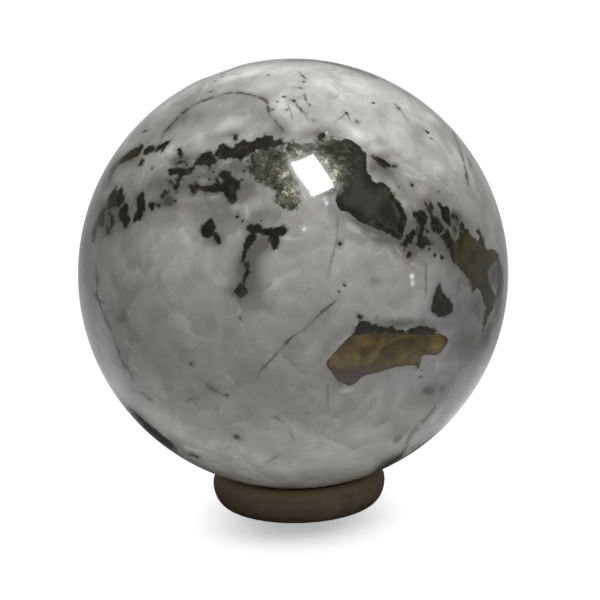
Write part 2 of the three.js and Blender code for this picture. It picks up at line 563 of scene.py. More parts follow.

# %% [markdown]
# A belt of black grains runs over the stone from rim to rim, with drips and loose grains below it. A narrow
# grain is a stroke of round dabs, each given by its place and half width in the photograph's frame, and a
# grain with corners is an outline. Neighbours run together as they do in the stone. Two strokes low on the
# rims are drawn in the same black: on the left painted shade and a dark reflection, and on the right a vein
# that is partly a painted reflection of the ring.

# %% Black grains on the left, and painted shade on the lower rim
LEFT_STROKES = [
    [(145.4, 152, 2.9), (151.5, 148.6, 3.6)],
    [(134, 153.4, 2.2), (139, 150.6, 2)],
    [(156.6, 150, 1.8), (161, 147.5, 3), (166, 144, 3), (169, 141.6, 1.2)],
    [(161.4, 149, 1.4), (162, 152.5, 1)],
    [(140, 164.4, 2.2), (142.6, 161, 2.2)],
    [(176.4, 164, 1.4), (180, 161.8, 1.3), (184.4, 161.2, 1.3)],
    [(191.6, 168.8, 1.5), (195, 164.6, 1.4), (198.4, 161.6, 2)],
    [(175.8, 180, 1.7), (178.8, 180.6, 1.8)],
    [(172.4, 184, 1.1), (176.2, 187.6, 2.1)],
    [(216.4, 179.2, 1.6), (218.2, 181.8, 1.3)],
    [(235.3, 136.8, 2.9), (236, 141, 1.2)],
    [
        (142, 193, 2), (140.4, 198, 4), (141, 204, 4.4), (141, 210, 3.8), (138.4, 216, 4.8),
        (134.4, 219.6, 2.4),
    ],
    [(121, 187, 1.3), (120.6, 193.4, 3), (120.4, 200, 4.6), (117.6, 204, 3)],
    [(126, 204.5, 2), (124.4, 210, 4.2), (122.6, 215, 4.6), (126, 220.4, 5), (125.6, 225, 2.8)],
    [(109.5, 213.2, 1.6), (111.4, 217.6, 1.4), (112.6, 221, 2.6), (111, 227, 1.4), (109.2, 232, 1.7)],
    [(213.6, 231.6, 2), (218, 238.4, 3), (219, 242, 2.4)],
    [
        (251.4, 228.6, 4.4), (258.4, 228.6, 4.4), (263, 232, 3.8), (268, 232, 4.2), (275, 233, 5.2),
        (282.4, 230.4, 4.6),
    ],
    [(273.6, 239.6, 6), (275.4, 246.6, 3.3)],
    [(251.4, 237.6, 4.8), (247.8, 244, 4), (244.6, 252, 1.8), (242.8, 261.5, 2)],
    [(244, 263, 1.9), (248, 265, 2.3), (247, 271, 2.7), (245, 277.5, 2), (243.6, 282, 1.4)],
    # Not a grain: this stroke and the dash below it are painted shade and a dark reflection along the lower
    # left rim.
    [
        (130, 408, 1), (140, 419, 2.2), (152, 431, 3.2), (164, 440.6, 3.4), (172, 446.6, 2.8),
        (176, 449, 1),
    ],
    [(190.6, 454.4, 1.1), (197.6, 457.2, 0.9)],
    [(196, 187, 2.2), (203, 188.6, 2.6), (210, 188.6, 2.8)],
    [(170, 171.4, 2.4), (178, 170, 2.6), (186, 171.6, 2.4), (190.6, 169, 2)],
    [(180.6, 174, 2), (179.6, 179, 2.2), (176, 186.4, 2.3)],
    [(168.4, 181, 1.4), (172, 183.6, 1.6)],
    [(179.4, 150.8, 2.4), (180.6, 155, 2)],
    [(162.4, 195.6, 2), (165.6, 192.6, 2.6), (168.8, 191.8, 2)],
]
LEFT_BLOTS = [
    [
        (177, 151.4), (178.4, 148.4), (181.4, 148.6), (182.6, 151.4), (182.2, 155), (184.6, 158),
        (180.4, 158), (177.8, 155),
    ],
    [
        (168, 172), (170.4, 168.4), (174.5, 169.4), (178, 167.2), (183.8, 167.2), (184.4, 171),
        (187.6, 170.8), (191.4, 167), (194, 169), (191.2, 174), (187, 176), (184, 174.6), (182, 178),
        (180, 180.2), (178.4, 176.4), (177, 173.8), (172, 175.6), (169.2, 174.6),
    ],
    [
        (160.6, 196), (163.4, 192), (166.4, 189.2), (169.4, 190.2), (169, 193.4), (165.6, 195.8),
        (162, 197.4),
    ],
    [(156, 206.6), (158.6, 203.2), (160.8, 204.2), (159.6, 207), (157.4, 208)],
    [(152.5, 199.6), (156, 204.6), (153.2, 212.4), (147, 204.4)],
    [
        (186.6, 184.6), (191, 183.6), (194, 184.2), (195.2, 181.2), (198, 183), (202, 185.6),
        (201, 188), (197.6, 188.8), (196.6, 193.8), (193.4, 195), (191.4, 192.2), (190.2, 188.2),
        (187, 187.2),
    ],
    [
        (201, 187.4), (206, 185.2), (211, 185.6), (215, 183.6), (221, 183.2), (224, 181.4),
        (221.4, 178.6), (217.4, 176.4), (219.2, 172.4), (222, 169.6), (225.6, 171), (231.4, 170.6),
        (232.2, 174.6), (234, 179), (238.8, 179.6), (241, 184), (239.8, 190.4), (236, 192),
        (236.4, 195.4), (239, 199.8), (235, 203), (231, 203.4), (226.6, 199.8), (223.6, 195),
        (222.6, 192.6), (209, 192), (205, 193), (202, 191),
    ],
    [
        (195.2, 165), (195.6, 159.4), (199, 157), (202, 153.2), (205.4, 152), (209.2, 150.6),
        (212, 152.2), (212.4, 155), (216.6, 157.6), (217, 162), (213.8, 165.8), (211.4, 164.4),
        (210.2, 169.2), (207.8, 168), (208, 165.4), (200, 165.6),
    ],
    [
        (214, 156), (217.4, 147), (221.6, 143.6), (226, 144.2), (229.4, 146.2), (231.6, 149.6),
        (234.8, 147.6), (236, 144), (240, 140.6), (245, 138.8), (247, 142), (251, 141.6), (255, 140.2),
        (257.4, 136.6), (261.6, 137.6), (264.2, 133.4), (268, 135), (272.4, 135.2), (273.4, 139),
        (277, 140.2), (281, 138.2), (283.4, 141), (284, 145), (279, 147), (272, 147.6), (266, 150.4),
        (258, 150), (253, 154), (248, 153.4), (244, 160.4), (236, 159), (228, 158.4), (223, 160.6),
        (219, 158),
    ],
    [
        (289.6, 141), (295, 143), (301, 144.6), (308, 145.4), (312.6, 144), (309, 149), (301, 149),
        (294, 147),
    ],
    [
        (210.4, 216.6), (214.6, 222.4), (216, 230), (212, 236.4), (207, 239.4), (201, 234),
        (200.6, 228), (205, 222.6),
    ],
    [
        (242.4, 282.4), (249, 291.6), (243.4, 297.2), (239, 298.6), (233.2, 290.6), (237, 288.2),
        (238, 284),
    ],
]

# %% Black grains on the right, and a vein with painted reflection low on the rim
RIGHT_STROKES = [
    [
        (389, 188, 1.4), (393, 197, 2), (399, 207, 2.6), (403.6, 217, 3.2), (401, 228, 3.6),
        (399.6, 237, 2.6),
    ],
    [(394, 233, 3), (384, 229.6, 1.8), (372, 224.6, 1)],
    [(388, 166.6, 1), (397, 166.4, 0.9)],
    [(276, 199, 1), (279, 204, 1.4), (284, 206.6, 1.6), (290.6, 208.6, 1.6), (297, 204.6, 1.2)],
    [(421.6, 229.4, 1.2), (422, 234, 1.7)],
    [(426.5, 229, 1.1), (427.4, 233, 1.1)],
    [(418, 226, 1), (416.6, 231, 0.9)],
    [(359.9, 317.2, 3)],
    # Partly a vein and partly a painted reflection of the dark ring, low on the right rim.
    [(376, 472.5, 2.2), (389, 465, 2.6), (402, 455, 1.2)],
    [(413, 232.6, 2.8), (410.6, 239.6, 2.6), (406, 242, 2.4)],
    [(421.6, 224, 3), (421.4, 230.4, 2.2), (419.6, 237, 3.4), (424, 240, 2.6), (430, 243.4, 1.6)],
    [(409, 254.4, 2.6), (410, 255, 2.4)],
]
RIGHT_BLOTS = [
    [(316.6, 135), (321, 133.2), (325.4, 133), (325, 137.2), (321.8, 140), (318.4, 140)],
    [
        (370.6, 154.2), (374.6, 157), (379, 157.4), (383.2, 159), (386.4, 162), (391.4, 164.4),
        (391.4, 168.4), (384, 168.2), (380, 165.4), (376.6, 161.6), (372, 158.4),
    ],
    [(423.6, 201.6), (426, 202.2), (428, 205.6), (426, 207)],
    [
        (429.6, 202.6), (432.4, 203.6), (432.8, 213.2), (430.6, 215), (428.8, 211.6), (427, 211.2),
        (426.6, 207.4),
    ],
    [
        (412.2, 211.6), (416, 210.6), (424.2, 210.2), (426.4, 213), (426.8, 215.8), (428.4, 216.4),
        (427.4, 221), (425.2, 224.4), (423, 228.6), (419.2, 227), (417.6, 223.2), (414.6, 218.4),
        (412.6, 216),
    ],
    [
        (430, 217), (432, 215.2), (437.2, 216.6), (440, 220.4), (441.4, 224.8), (444.4, 226.2),
        (443.4, 231), (440.8, 234.8), (436, 233), (431.2, 231), (430.2, 226), (430.6, 222),
    ],
    [
        (437.2, 202), (441.8, 201.4), (442.4, 206), (445.2, 205.2), (450, 209.6), (451, 214),
        (450, 219), (452.6, 225), (449.6, 228.6), (447.4, 223.4), (442.8, 221.4), (440.6, 217),
        (441.2, 211), (439.2, 209), (437.6, 205),
    ],
    [(450.8, 211.4), (453.8, 213.4), (456, 217), (453.8, 220), (451.4, 217)],
    [(459, 222), (461, 220.2), (463.4, 224.4), (467, 229), (469, 233.6), (464, 232), (460.4, 228)],
    [
        (440.2, 235.4), (444, 233.6), (446.6, 227.6), (449.2, 231), (451, 236), (453.4, 240.6),
        (454, 248), (453, 257.4), (455.4, 262.6), (451.4, 260), (449.2, 251.4), (446.2, 245.4),
        (442.6, 241),
    ],
    [(411.8, 231), (414, 228.6), (416.4, 231), (417, 234.8), (413.6, 236.6)],
    [
        (404.2, 236.6), (407, 234.6), (410, 237.2), (413.2, 235.6), (414, 240.6), (412.2, 245),
        (408.6, 243.6), (406.6, 247.6), (402.2, 246.4), (400.4, 243.4), (405, 241),
    ],
    [
        (416.2, 235), (419, 233.2), (423.2, 233.6), (424, 236.6), (427.2, 236.6), (428, 240.6),
        (426.6, 242), (432.8, 241.2), (434, 244), (430, 245.8), (425, 245.2), (424.2, 249.4),
        (420.8, 250), (419, 246.6), (414.6, 245.4), (415.6, 242.2), (418.6, 240.8), (417, 238),
    ],
    [
        (406.2, 254), (408.6, 251.6), (411.8, 252.2), (413.4, 254), (411, 257), (408.4, 258.2),
        (406.4, 257),
    ],
    [(439.4, 254), (442, 254), (444.4, 258), (441.6, 259.4), (439.2, 257.6)],
    [
        (476, 228.6), (479.2, 228.2), (481, 233), (483, 238), (485.2, 244.4), (482.4, 246),
        (480, 241.6), (478.2, 241.6), (479.2, 237), (477.2, 232),
    ],
    [
        (438.8, 283), (441, 289), (443.4, 293), (447.4, 297), (450.6, 301.4), (454.2, 307),
        (452.4, 312), (447.8, 315.6), (441.6, 317.8), (437, 316.4), (432.4, 312.8), (430, 307),
        (432.6, 302), (432.2, 299), (434, 295), (434.6, 291), (436.4, 288.4),
    ],
    [
        (351.6, 337), (355, 327.4), (357.6, 322), (360.6, 319.6), (365.4, 320.2), (371, 323.6),
        (379, 326), (386.5, 327.4), (391.3, 324.8), (395.2, 328.6), (399, 330.8), (403.3, 328.8),
        (406, 330.6), (411.4, 328.4), (420, 325), (426.7, 327), (436.6, 328.4), (437.4, 334),
        (415, 334), (386, 333), (371, 333), (358, 335),
    ],
    [(336.6, 380), (342.4, 382.6), (351, 386), (356, 383), (350, 383), (343, 380)],
    [(413, 364.6), (418.6, 361), (420, 367.6), (417.6, 368.4)],
]
black_strokes = [*LEFT_STROKES, *RIGHT_STROKES]
black_blots = [*LEFT_BLOTS, *RIGHT_BLOTS]
black = np.minimum(
    np.minimum.reduce([front.stroke(*dabs) for dabs in black_strokes]),
    np.minimum.reduce([front.outline(*corners) for corners in black_blots]),
)
print(len(black_strokes), "black strokes and", len(black_blots), "black outlines")

# %% [markdown]
# Some marks are hardly wider than the mesh is fine. For those, each point keeps the way to the nearest
# speck's middle, which stays exact between the points, so that a speck is round however small it is. A
# crack works alike: a point keeps how far it lies to the left or right of the line, and the material draws
# the line where that passes zero.

# %% Small specks
SPECK_REACH = 1.6  # millimetres round a speck in which points know of it
BORDER = 0.8  # millimetres between the realms of two marks, left to neither
SPECKS = [
    (172.3, 162.2, 1.1), (168.4, 184, 1.2), (170.6, 181, 1), (175.4, 200.8, 1.7), (209.6, 178.4, 2.1),
    (233.2, 167, 1.8), (244, 171.2, 1.5), (242.2, 179.4, 1.6), (237.9, 217.1, 2.1),
    (242.2, 220.7, 1.5), (268.4, 75, 1.6), (303.9, 82, 1.5), (283.5, 97, 1.4), (293.6, 100.7, 1.8),
    (310, 105, 1.1), (346.6, 113, 1.9), (373.4, 102.9, 1.8), (427.9, 132.6, 2.6), (431.4, 138.6, 1.1),
    (412, 185, 1.9), (438.6, 191.4, 0.9), (340, 244, 1.8), (429.4, 249, 1.5), (434.6, 255, 2),
    (399, 187.4, 1.2), (210.7, 91.4, 1.1), (240, 318.3, 1.1), (344.3, 285.7, 1.4), (339.3, 291.4, 1),
    (421.7, 370.3, 1.3), (420.5, 376.5, 1.4), (191, 363.8, 1.2), (227, 395.2, 1.1), (215, 81, 1),
    (222, 76.5, 1.1), (272.5, 109.5, 0.9), (300.5, 88, 0.8), (277.6, 101.5, 0.8), (287.5, 110, 0.8),
    (313.5, 120.5, 0.7), (356.8, 121.6, 0.8), (403.6, 190, 1.2), (152, 169, 1), (404.6, 250, 0.9),
    (466, 246, 0.8), (291.4, 154, 1.6), (279.8, 166, 1.5), (277.4, 173.8, 1.5), (275.6, 187.8, 1.7),
    (277.4, 196, 1.3), (286.4, 178, 1.1), (261, 221, 0.8), (225, 165.6, 0.9), (205.6, 171, 0.7),
    (236.7, 437, 3.4), (171.4, 176.6, 1.1), (173.6, 182, 1.2), (170.6, 183, 1.1), (183.4, 179.6, 1),
    (176.4, 192, 1), (206, 174.6, 1.1), (213, 172.4, 1.2), (229.4, 166, 1), (199.6, 177, 0.9),
    (186.6, 165, 1.1), (176, 158.6, 1.1), (173.4, 161.6, 1),
]
speck_way = np.zeros_like(places)
speck_size = np.full(len(places), -1.0)
nearest_speck = np.full(len(places), SPECK_REACH)
for x, y, half_width in SPECKS:
    way = (places - np.array(on_stone(x, y)[1])) / MM
    distance = np.linalg.norm(way, axis=1)
    contested = (np.abs(distance - nearest_speck) < BORDER) & (nearest_speck < SPECK_REACH)
    closer = distance < nearest_speck
    nearest_speck = np.where(closer, distance, nearest_speck)
    speck_way[closer] = way[closer]
    speck_size[closer] = half_width * front.unit
    speck_size[contested] = -1
print(len(SPECKS), "specks")

# %% Veins and cracks
CRACK_REACH = 2.2  # millimetres beside a line in which points know of it
DARK_LINES = [
    [
        (160, 140, 0), (168.6, 127, 1.5), (181.4, 114.3, 1.7), (195.7, 104, 1.3), (207, 99.3, 0.9),
        (218.6, 95.7, 0.8), (230, 93, 0.8), (241.4, 92.8, 1.2), (251.4, 95, 1), (261.4, 98, 1.2),
        (267.6, 102, 2.1), (267.9, 107, 1.7), (269, 114, 1.5), (275.7, 121.4, 1.5), (283, 131, 1),
    ],
    [(142.2, 132.4, 0.6), (146, 131, 1.1), (151, 128.6, 0.3)],
    [(283, 60.4, 0), (310, 59.8, 0.9), (340, 64.4, 1.1), (365, 72, 0.9), (378, 78, 0)],
    [(299, 72, 0), (302, 75, 1.3), (306, 79, 0.3)],
    [(293.6, 100.7, 0.8), (298, 107, 0.5), (302, 110.5, 1.7), (305.5, 114.5, 1.9), (308, 120, 0)],
    [(304, 93.5, 0.2), (305, 98, 1.3), (308, 104, 0.3)],
    [(288, 104, 0.2), (291, 112, 0.9), (292, 119, 0)],
    [(346, 112, 1), (350, 120, 0.1)],
    [(344, 115.5, 0.4), (335, 122, 0)],
    [(394, 103.5, 0), (397.5, 107, 1.7), (402.5, 112.5, 0.4), (408, 121, 0)],
    [
        (451, 127, 0), (455, 136, 0.8), (460, 148.6, 1.1), (464, 163, 0.8), (466.6, 175, 1.8),
        (468.4, 187, 0),
    ],
    [(467.5, 158, 0), (470, 163.5, 1), (472, 168, 0)],
    [(337, 212, 0), (337.6, 226, 0.15), (336.6, 242, 0.1), (331, 261, 0.5), (327, 279, 0)],
    [
        (337.5, 299.5, 0.1), (332, 304, 0.9), (326.5, 308.5, 1.6), (318, 315.6, 1.8),
        (304, 329.6, 0.8), (291.5, 337.5, 1), (285.5, 344, 1.8), (274.5, 356.4, 0.8), (263, 368, 0.7),
        (256.5, 376.5, 0.6),
    ],
    [(426, 262, 0), (426, 274, 0.4), (426, 288, 0.6), (425.6, 297, 0)],
    [(92, 290, 0.3), (97, 298, 1.4), (104.5, 304, 0.6)],
    [
        (96, 262, 0), (96.5, 280, 1.6), (97, 296, 1.2), (101, 307, 0.7), (105.7, 319.3, 0.7),
        (111.4, 332, 0.8), (116.4, 345, 1), (121.4, 357.9, 2), (126.5, 368, 2.4), (130, 372.5, 1.2),
        (135, 383, 0),
    ],
    [(131, 390.4, 0), (137, 392.4, 0.8), (144, 394.6, 1.4), (148.5, 398.5, 1.8), (153, 401.4, 0)],
    [(186, 403, 0), (189, 399.4, 0.9), (196, 398.4, 0)],
    [(207, 385, 0.6), (213, 389.4, 2.2), (217, 391.6, 3), (221, 393.4, 1)],
    [(222, 396, 0.4), (226, 395, 1), (230, 395.4, 0)],
    [(328, 384, 0), (327.6, 392, 0.6), (328, 406, 0)],
    [(440, 387, 0.3), (448, 383, 0.9), (455, 376, 0)],
    [
        (435.5, 407, 1.4), (428, 417.5, 1.6), (419, 423.6, 2.8), (412, 434, 2.8), (404.5, 449, 2),
        (398, 458, 0.6),
    ],
    [(270, 416, 0), (277, 417.5, 0.7), (281, 421, 0)],
    [(290, 430, 0), (292, 436, 0.5), (294, 440, 0)],
    [(266, 462, 0), (275, 457.6, 0.4), (279, 455, 0)],
]
PALE_LINES = [
    [(195, 104.5, 0), (200, 96, 1.1), (205.5, 87.5, 1), (208, 84, 0)],
    [(160.5, 264, 0), (164, 278, 1.2), (168, 288, 1.1), (174.5, 296.5, 0)],
    [(187, 274, 0), (192, 279.5, 0.9), (196, 284.5, 0)],
    [
        (231, 308, 0), (237, 316, 0.5), (242.5, 326, 0.6), (247, 340, 0.5), (251, 352, 0.4),
        (262, 352.6, 0),
    ],
    [(236, 300, 0), (240, 310, 1), (239, 318, 0.2)],
    # Painted glints, not seams: this short line, the one at (324, 198.6) and the two short ones at (366.4,
    # 343.6) and (386, 350).
    [(354, 217.2, 2), (356, 218.4, 0.6)],
    [(352, 226, 0), (357, 231, 1), (363, 237, 0.9), (370, 239, 0)],
    [(303.4, 194, 0), (306, 199.6, 0.8), (307.8, 206, 0)],
    [(324, 198.6, 1.4), (326.4, 202, 2.4), (327, 205, 1)],
    [(400, 172, 0), (411, 176, 0.7), (421, 179, 0.7), (434, 178, 0.6), (452, 182, 0)],
    [(178, 200.6, 0.6), (186, 201.6, 2.6), (193, 198, 1.8), (200, 197, 0.4)],
    [(204, 200.6, 0.4), (212, 197.6, 2), (220, 195, 0.4)],
    [(245.6, 205, 0.4), (246.8, 212, 2.6), (246, 219, 0.4)],
    [(213, 171, 0), (220, 165.6, 1), (229, 161.6, 1.6), (234, 162, 0.2)],
    [(199, 168, 0.2), (204, 171.6, 0.9), (208, 172, 0)],
    [(183.6, 176, 0.4), (182.4, 181.6, 1.6), (180.4, 186, 0.4)],
    [(249, 184, 0.2), (256, 188, 0.9), (262, 191.6, 0)],
    [(396, 262, 0), (404, 259, 1), (412, 264, 1.2), (422, 270, 0.2)],
    [(374, 256, 0), (381, 252, 0.9), (386, 246, 0)],
    [(396, 246, 0.3), (399, 252, 1), (406, 262, 0.2)],
    [(438, 356, 0), (437.6, 364, 0.8), (436.6, 371, 0)],
    [(205, 270, 0), (214, 277, 0.8), (219, 285, 0)],
    [(217, 398, 0), (222, 412, 1), (219.6, 423, 0)],
    [(366.4, 343.6, 0.5), (368.4, 344.4, 0.5)],
    [(386, 350, 0.5), (388.4, 350.6, 0.5)],
    [(376.6, 344.6, 0.2), (375.4, 349.4, 0.5), (378.4, 354, 0.3)],
    [(380.6, 346, 0.2), (384, 343.2, 0.4), (388, 344, 0.1)],
    [(355, 356.4, 0.3), (367.4, 361.2, 0.5), (382.7, 365, 0.2)],
    [(399, 345.6, 0.2), (396.4, 353, 0.5), (397.4, 361, 0.3)],
    [(403, 347, 0.3), (405.6, 353.4, 0.5), (405.4, 359, 0.2)],
    [(328.6, 358.6, 0.2), (334, 356, 0.6), (338, 359.4, 0.2)],
    [(421, 343, 0.2), (428, 345.4, 0.5), (436, 348, 0.7), (442, 343, 0.3)],
    [(430, 336.6, 0.2), (438, 338.6, 0.5), (443, 339, 0.2)],
]


def line_values(drawn):
    """How far each point lies to one side of the nearest line, and that line's half width there."""
    beside = np.full(len(places), CRACK_REACH)
    half_width = np.full(len(places), -CRACK_REACH)
    for canvas, lines in drawn:
        for dabs in lines:
            distance, side, width = canvas.nearest(dabs, tapered=True)
            known = np.abs(beside)
            nearly_equal = (np.abs(distance - known) < BORDER) & (known < CRACK_REACH)
            contested = nearly_equal & (np.minimum(distance, known) > BORDER / 2)
            closer = distance < known
            beside = np.where(closer, distance * side, beside)
            half_width = np.where(closer, width - EDGE_SLOPE * canvas.past_edge, half_width)
            half_width[contested] = -CRACK_REACH
    return beside, half_width


BACK_CRACKS = [
    [(-44, -20, 0), (-30, -8, 0.25), (-18, -2, 0.16), (-6, -1, 0)],
    [(20, -34, 0), (30, -22, 0.2), (34, -8, 0)],
    [(-20, 34, 0), (2, 40, 0.22), (18, 38, 0)],
]
crack_side, crack_width = line_values([(front, DARK_LINES), (back, BACK_CRACKS)])
seam_and_glint_side, seam_and_glint_width = line_values([(front, PALE_LINES)])
print(len(DARK_LINES), "dark lines and", len(PALE_LINES), "pale lines")

# %% [markdown]
# The larger patches are other minerals: sparkling olive mica on both sides of the highlight, a smooth dark
# lens beside it, a golden patch, and a brown one, with olive grains of the same kind beside it and at the
# left rim. Each is an outline with only the corners that its shape needs, or a stroke where it is narrow.

# %% Patches of other minerals
sparkling_mica = np.minimum.reduce(
    [
        front.outline(
            (249, 158), (247.4, 168), (249, 174), (255, 178.4), (260, 182.4), (266, 185.4), (272, 188),
            (275, 191), (274, 196), (275.2, 201), (278.6, 205.4), (284, 208), (290, 210.4),
            (295, 209.8), (298.6, 205), (300.2, 199), (299.8, 193), (296, 188.4), (292, 186.6),
            (294, 183.6), (292.6, 178), (292.6, 171), (290, 165), (289, 160), (284, 147), (266, 147),
            (252, 150),
        ),
        front.outline(
            (284, 142), (291, 141), (306, 144), (320, 141), (315, 152), (304, 158), (296, 161),
            (288, 158),
        ),
        front.outline(
            (312, 142), (320, 138.6), (332, 139), (344, 140.6), (354, 146), (360, 155), (358, 170),
            (352, 182), (344, 191), (337, 195), (331, 192), (336, 186), (326, 170), (313, 153),
        ),
    ]
)
dark_lens = front.outline(
    (339, 142), (344, 138.2), (350, 139.2), (356, 143.2), (361.4, 147.2), (362.4, 151), (367, 152.4),
    (366.4, 158), (367, 165), (366.4, 172), (371.4, 175.6), (372, 180.4), (377, 183.4), (381, 181.2),
    (386.4, 184.4), (390, 189), (393, 196), (396.4, 199), (402, 206.6), (405, 213), (408.6, 219.8),
    (405, 222), (404.4, 228), (403, 234), (401, 239.6), (397, 240), (393.4, 236), (386.4, 232.4),
    (381, 231), (374.4, 228), (368, 225), (361.4, 223), (356.6, 220), (350.8, 214), (346, 211.4),
    (340.8, 211), (338.2, 208), (335.6, 203), (335, 198), (340, 190),
)
gold = front.outline(
    (325, 363.2), (333.6, 353.4), (343.2, 342), (350, 336), (358, 333), (371, 331.4), (386.5, 331.4),
    (399, 332.2), (415, 333), (436.4, 332.6), (447.2, 336.4), (448.4, 341.4), (444.2, 348), (437.4, 356),
    (429.4, 354), (420.4, 356), (419.8, 367.4), (413, 365.4), (405.6, 365.4), (393, 367.6), (376, 373),
    (361.8, 376.4), (356, 383.4), (351, 386.6), (342.4, 383), (337.4, 380.4), (333.6, 374.8), (328, 368),
)
OLIVE_GRAINS = [
    [(120, 162.6, 1.4), (127, 157.6, 3.2), (134.5, 153, 4.4), (139.5, 149.6, 3), (142.6, 144.4, 1.2)],
    [(116.4, 187, 1), (112.6, 196, 3.6), (111, 204, 3.6), (108.6, 208, 2)],
    [(104.4, 209, 1.2), (101.4, 217, 3.4), (101, 224, 2.8)],
    [(97, 222, 1.2), (94, 232, 3), (93.6, 241, 1.6)],
    [(107.4, 226, 1), (107, 234, 1.6)],
    [(116.4, 191, 2), (115, 200, 3)],
    [(497, 256, 0.8), (500, 268, 2.6), (500.6, 282, 3), (498.4, 296, 1.6)],
    [(452.4, 211.6, 1.2), (455.6, 216.6, 1.8), (457.4, 221, 1)],
    [(453.6, 226, 1), (456, 231, 1.4)],
]
brown = np.minimum(
    front.outline(
        (452.4, 238), (455, 241), (459.2, 237), (458.6, 228), (460.4, 221.6), (465, 228), (468.4, 233),
        (473.6, 237), (478, 241), (482.4, 239), (485, 245.6), (488, 250), (491.6, 249.2), (496, 250.6),
        (499.4, 255), (499.6, 260), (493.4, 264), (488.4, 268.4), (487.6, 275), (489.4, 281), (492.6, 289),
        (495.6, 295), (496, 300), (493.4, 309), (489, 318), (486.4, 311), (483.6, 303), (481.6, 296),
        (479.6, 290.4), (477.4, 287.4), (474.6, 291), (472.4, 295), (471.6, 288), (470, 283), (469.2, 279),
        (465.6, 276), (462.6, 271.4), (457.6, 266.4), (453.6, 262.4), (450.4, 256),
    ),
    front.stroke((487, 312, 3), (484.6, 322, 1.8), (482.6, 330, 0.8)),
)
for grain in OLIVE_GRAINS:
    brown = np.minimum(brown, front.stroke(*grain))
print("gold on", int((gold < 0).sum()), "points, mica on", int((sparkling_mica < 0).sum()))

# %% [markdown]
# Under the polish the stone isn't even: milky and glassy zones lie side by side, some stain seeps round the
# grains, and a cool gleam lies round the golden patch, which is purplish where it is thin. The milky and
# glassy clouds also hold painted light: the ball is painted lighter towards the top and darker at its
# sides, and a few small milky clouds are painted glints. The stain clouds also hold painted shade low on
# the ball by the ring. These have no edge, so they are clouds. Two more sets of clouds say where mica and
# gold sparkle, painted in as paler flakes, and where fine black grains are peppered through the stone.
# Each set is listed in bands of 40 pixels from the top down, and in a band from left to right.

# %% Soft clouds
# Most are milky zones, but those high on the ball are painted light, lighter towards the top, and the small
# bright ones at (326.4, 133), (325, 199), (304.4, 229.4), (326.8, 203), (412, 276.4) and (412.4, 283) are
# painted glints.
MILK_AND_PAINTED_LIGHT = [
    (225, 79, 40, 6, -14, 0.3), (260, 68, 70, 9, -6, 0.45), (155, 112, 50, 7, -42, 0.25),
    (180, 96, 34, 6, -38, 0.25), (255, 90, 16, 8, 0, 0.15), (264, 84, 10, 6, 0, 0.2),
    (276, 100, 9, 6, 0, 0.3), (288, 104, 36, 15, 0, 0.25), (300, 86, 40, 12, 0, 0.1),
    (335, 84, 50, 14, 10, 0.15), (345, 80, 34, 13, 10, 0.4), (368, 112, 20, 16, 30, 0.15),
    (415, 115, 34, 12, 45, 0.3), (432, 117, 12, 8, 40, 0.35), (125, 146, 12, 6, -40, 0.3),
    (170, 151, 10, 8, 0, 0.4), (200, 140, 8, 12, 0, 0.25), (236, 120, 26, 8, -10, 0.3),
    (268, 126, 7, 7, 0, 0.3), (300, 128, 14, 5, 0, 0.25), (326.4, 133, 1.3, 1.3, 0, 1),
    (358, 134, 16, 7, 25, 0.45), (377, 147, 7, 6, 30, 0.5), (382, 134, 26, 26, 0, 0.25),
    (395, 126, 12, 18, 0, 0.25), (408, 150, 9, 12, 0, 0.15), (455, 152, 8, 20, -20, 0.25),
    (106, 193, 8, 8, -30, 0.3), (120, 178, 12, 6, -50, 0.2), (140, 178, 26, 8, -35, 0.15),
    (187, 199.4, 10, 3, 0, 0.2), (205, 181, 6, 3, 0, 0.3), (212, 198, 7, 2.6, 0, 0.15),
    (228, 162, 6, 4, 20, 0.2), (325, 199, 1.2, 1.2, 0, 0.7), (391, 184, 4, 10, -30, 0.4),
    (422, 192, 8, 6, 0, 0.35), (430, 165, 14, 14, 0, 0.15), (437, 170, 12, 9, 0, 0.3),
    (466, 160, 5, 14, -20, 0.25), (180, 214, 10, 6, -20, 0.15), (187, 222, 8, 14, 0, 0.3),
    (236, 208, 6, 5, 0, 0.3), (239.4, 232, 3, 4, 0, 0.3), (247, 212, 5, 9, 0, 0.4),
    (256, 204, 8, 7, 0, 0.35), (287, 238, 10, 2, 10, 0.35), (304.4, 229.4, 1.2, 1.2, 0, 1.2),
    (326.8, 203, 1.7, 1.7, 0, 0.9), (354, 228, 10, 4, 35, 0.5), (376, 236, 8, 3, 20, 0.4),
    (402, 204, 6, 5, 0, 0.3), (414, 206, 6, 10, -35, 0.3), (143, 246, 12, 16, 20, 0.15),
    (168, 278, 8, 10, 0, 0.12), (190, 245, 10, 10, 0, 0.12), (310, 240, 8, 34, 0, 0.12),
    (412, 276.4, 2, 2.6, 0, 1.2), (298, 300, 14, 10, 0, 0.12), (310, 282, 14, 18, 0, 0.1),
    (400, 318, 22, 7, 0, 0.2), (412.4, 283, 1.8, 3, 0, 0.8), (86, 325, 5, 34, -8, 0.25),
    (92, 325, 8, 26, -10, 0.2), (104, 342, 8, 26, -16, 0.2), (112, 356, 8, 50, -18, 0.25),
    (233, 358, 8, 14, 0, 0.12), (316, 349, 14, 8, -40, 0.18), (345, 391, 9, 3, -10, 0.4),
    (390, 392, 30, 12, -20, 0.2), (118, 402, 6, 30, -36, 0.2), (172, 432, 22, 8, 36, 0.2),
    (180, 432, 40, 12, 36, 0.35), (270, 432, 20, 18, 0, 0.1), (345, 438, 16, 8, 0, 0.15),
    (355, 425, 40, 20, 0, 0.2), (214, 444, 7, 8, 0, 0.3), (268, 466, 26, 12, 20, 0.2),
    (300, 462, 34, 8, 0, 0.12),
]
